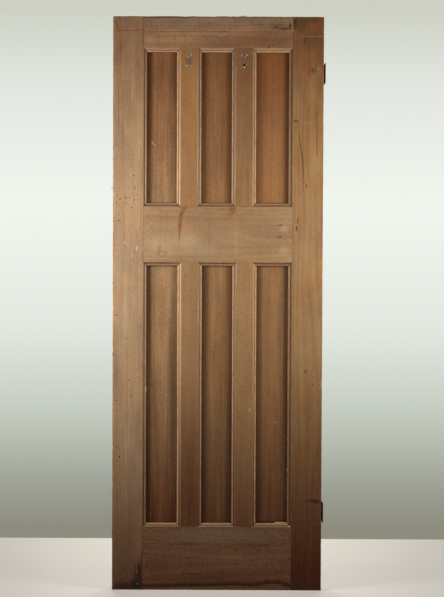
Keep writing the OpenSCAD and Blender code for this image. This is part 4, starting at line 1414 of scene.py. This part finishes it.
# The end of a bead that still has its full width: where it starts, how long it is and its edges, in mm
WHOLE_BEAD_START = 213
WHOLE_BEAD_LENGTH = 49
WHOLE_BEAD_LOW = 242.0
WHOLE_BEAD_HIGH = 247.2
WHOLE_BEAD_PROUD = -12.2
WHOLE_BEAD_BACK = -6
WHOLE_BEAD_STEPS = 12


def make_whole_bead():
    """The end of the lower right bottom moulding where the bead still has its full width."""
    bm = bmesh.new()
    rings = []
    low, back = WHOLE_BEAD_LOW, WHOLE_BEAD_BACK
    for i in range(WHOLE_BEAD_STEPS + 1):
        x = WHOLE_BEAD_START + WHOLE_BEAD_LENGTH * i / WHOLE_BEAD_STEPS
        high = WHOLE_BEAD_HIGH - 1.2 * max(0, i - 8) / 4 + 0.3 * roll((x * MM, 0, 0), 9 * MM, 5)
        proud = WHOLE_BEAD_PROUD + 0.4 * roll((x * MM, 0, 1), 12 * MM, 3)
        section = ((back, low), (proud, low + 0.5), (proud - 0.3, low + 3), (proud + 1.2, high - 1.6),
                   (proud + 3.2, high), (back, high))
        rings.append([bm.verts.new((x * MM, y * MM, z * MM)) for y, z in section])
    skin(bm, rings)
    obj = show("whole_bead_end", to_mesh(bm, "whole_bead_end", turn_outward=True), [CROSS_MOULDING])
    for name, value in zip(MOULDING_VALUES, (0.8, 0.012, 0.05, 0.05)):
        kept = obj.data.attributes.new(name, "FLOAT", "POINT")
        kept.data.foreach_set("value", [value] * len(obj.data.vertices))
    leave_on_door(smoothed(obj, 50))


# A broken nail: its height on the lock stile's edge and how it lies, then shank and head, in mm
NAIL_Z = 1462.6
NAIL_Y = -14
NAIL_LEAN = math.radians(-76)
NAIL_PARTS = ((-1, 1.5, 1.3, 9), (4, 2.7, 1.7, 1.4))


def make_nail():
    """A broken nail that stands out of the lock stile's edge."""
    bm = bmesh.new()
    lean = Matrix.Rotation(NAIL_LEAN, 4, "Y")
    for out, wide, narrow, length in NAIL_PARTS:
        at = Matrix.Translation((DOOR_LOW.x - out * MM, NAIL_Y * MM, (NAIL_Z + out * 0.25) * MM)) @ lean
        bmesh.ops.create_cone(bm, cap_ends=True, segments=12, radius1=wide * MM, radius2=narrow * MM,
                              depth=length * MM, matrix=at)
    obj = show("broken_nail", to_mesh(bm, "broken_nail"), [PIN_IRON])
    leave_on_door(rounded(obj, 0.25 * MM, 2))


# Slivers on the torn top edge, in mm as x, y, height and lean, how deep they root and their foot's outline
SPLINTERS = ((79, -17, 4.4, 2), (85, -14, 6.4, 5), (91, -18, 4.6, -2), (97, -16, 5.8, 3))
SPLINTER_ROOT = 2 * MM
SPLINTER_FOOT = ((-2.2, -0.5), (2.4, -0.6), (1.8, 0.7), (-1.6, 0.6))


def make_splinters():
    """Slivers that stand up from the torn top edge of the top rail."""
    bm = bmesh.new()
    root_z = DOOR_HIGH.z - SPLINTER_ROOT
    for x, y, tall, lean in SPLINTERS:
        base = [bm.verts.new(((x + dx) * MM, (y + dy) * MM, root_z)) for dx, dy in SPLINTER_FOOT]
        tip = bm.verts.new(((x + lean) * MM, (y - 0.4) * MM, DOOR_HIGH.z + tall * MM))
        bm.faces.new(reversed(base))
        for a, b in zip(base, base[1:] + base[:1]):
            bm.faces.new((a, b, tip))
    obj = show("top_rail_splinters", to_mesh(bm, "top_rail_splinters", turn_outward=True), [HOLLOW])
    leave_on_door(obj)


make_plugs()
make_whole_bead()
make_nail()
make_splinters()

# Stage: camera, lamps, floor and backdrop, in metres
CAMERA_PLACE = Vector((0.0161, -4.2, 1.15))
CAMERA_LENS = 69.46
CAMERA_PITCH = math.radians(1.178)
CAMERA_ROLL = math.radians(0.244)
FLOOR_REACH = 14
FLOOR_TONE = tone(206, 200, 190)
FLOOR_GLOW = 0.45
BACKDROP_Y = 0.8
BACKDROP_REACH = 9
BACKDROP_TOP = 5
BACKDROP_FADE = 2.4
# Shades of the backdrop's glow from the floor up, by share of the fade's height: a painted pool of lamp
# light, brightest at about 1.4 m and darker towards the floor and the top
BACKDROP_SHADES = (
    (0.02, (141, 140, 126)), (0.09, (156, 159, 147)), (0.235, (197, 204, 192)), (0.38, (226, 231, 224)),
    (0.6, (240, 245, 238)), (0.81, (228, 231, 225)), (0.96, (205, 208, 195)))
LAMP_HEIGHT = 1.32


def make_camera():
    lens = bpy.data.cameras.new("Camera")
    lens.lens = CAMERA_LENS
    lens.sensor_width = 36
    camera = bpy.data.objects.new("Camera", lens)
    bpy.context.scene.collection.objects.link(camera)
    ahead = Vector((0, math.cos(CAMERA_PITCH), -math.sin(CAMERA_PITCH)))
    up = X.cross(ahead)
    right = X * math.cos(CAMERA_ROLL) + up * math.sin(CAMERA_ROLL)
    up = up * math.cos(CAMERA_ROLL) - X * math.sin(CAMERA_ROLL)
    turn = Matrix((right, up, -ahead)).transposed()
    camera.matrix_world = Matrix.Translation(CAMERA_PLACE) @ turn.to_4x4()
    bpy.context.scene.camera = camera


def soft_box(name, place, aim, wide, high, watts, spread=180):
    lamp = bpy.data.lights.new(name, "AREA")
    lamp.shape = "RECTANGLE"
    lamp.size = wide
    lamp.size_y = high
    lamp.energy = watts
    lamp.spread = math.radians(spread)
    obj = bpy.data.objects.new(name, lamp)
    bpy.context.scene.collection.objects.link(obj)
    obj.location = place
    obj.rotation_euler = (Vector(aim) - Vector(place)).to_track_quat("-Z", "Y").to_euler()
    obj.visible_camera = False


def seen_directly(sheet):
    """1 for rays that show the background: straight to the camera, mirrored or through glass."""
    path = sheet.add("ShaderNodeLightPath").outputs
    mirrored = sheet.math("MAXIMUM", path["Is Glossy Ray"], path["Is Transmission Ray"])
    return sheet.math("MAXIMUM", path["Is Camera Ray"], mirrored)


def make_world():
    """A faint fill of light from all round, and a pale background where it is seen."""
    world = bpy.data.worlds.new("Studio")
    bpy.context.scene.world = world
    world.use_nodes = True
    world.node_tree.nodes.clear()
    sheet = Sheet(world.node_tree)
    fill = sheet.first("ShaderNodeBackground", {"Color": tone(236, 240, 238), "Strength": 0.07})
    pale = sheet.first("ShaderNodeBackground", {"Color": tone(224, 228, 220), "Strength": 1.0})
    both = sheet.first("ShaderNodeMixShader", {0: seen_directly(sheet), 1: fill, 2: pale})
    sheet.add("ShaderNodeOutputWorld", {"Surface": both})


def quad(name, corners, material):
    bm = bmesh.new()
    bm.faces.new([bm.verts.new(c) for c in corners])
    obj = show(name, to_mesh(bm, name), [material])
    return obj


def make_floor():
    """A plain pale floor that keeps the shadow and stays pale away from the lamps."""
    material, sheet, shader = new_material("Pale floor")
    glow = sheet.times(sheet.add("ShaderNodeLightPath").outputs["Is Camera Ray"], FLOOR_GLOW)
    sheet.feed(shader, {"Base Color": FLOOR_TONE, "Roughness": 0.8, "Emission Color": FLOOR_TONE,
                        "Emission Strength": glow})
    quad("floor", [(x * FLOOR_REACH, y * FLOOR_REACH, 0) for x, y in ((-1, -1), (1, -1), (1, 1), (-1, 1))],
         material)


def make_backdrop():
    """A pale greenish sheet behind the leaf that shows from the front alone and lights nothing."""
    material = bpy.data.materials.new("Backdrop")
    material.use_nodes = True
    material.node_tree.nodes.clear()
    sheet = Sheet(material.node_tree)
    height = sheet.split(sheet.place())[2]
    ramp = sheet.add("ShaderNodeValToRGB", {0: sheet.math("DIVIDE", height, BACKDROP_FADE)})
    for _ in range(len(BACKDROP_SHADES) - 2):
        ramp.color_ramp.elements.new(0.5)
    for element, (position, colour) in zip(ramp.color_ramp.elements, BACKDROP_SHADES):
        element.position = position
        element.color = tone(*colour)
    glow = sheet.first("ShaderNodeEmission", {"Color": ramp.outputs[0]})
    clear = sheet.first("ShaderNodeBsdfTransparent")
    behind = sheet.add("ShaderNodeNewGeometry").outputs["Backfacing"]
    hidden = sheet.math("MAXIMUM", behind, sheet.minus(1.0, seen_directly(sheet)))
    both = sheet.first("ShaderNodeMixShader", {0: hidden, 1: glow, 2: clear})
    sheet.add("ShaderNodeOutputMaterial", {"Surface": both})
    corners = ((-1, 0), (1, 0), (1, BACKDROP_TOP), (-1, BACKDROP_TOP))
    quad("backdrop", [(x * BACKDROP_REACH, BACKDROP_Y, z) for x, z in corners], material)


make_camera()
make_world()
make_floor()
make_backdrop()
soft_box("Left soft box", (-1.3, -0.57, LAMP_HEIGHT), (0, 0, LAMP_HEIGHT), 0.6, 0.45, 11.2, 125)
soft_box("Right soft box", (1.3, -0.57, LAMP_HEIGHT), (0, 0, LAMP_HEIGHT), 0.6, 0.45, 9.4, 125)
soft_box("Back left soft box", (-0.6, 1.5, 1.5), (0, 0, 1.1), 0.8, 1.0, 14)
soft_box("Back right soft box", (0.6, 1.5, 1.5), (0, 0, 1.1), 0.8, 1.0, 14)
bpy.context.scene.view_settings.view_transform = "Standard"
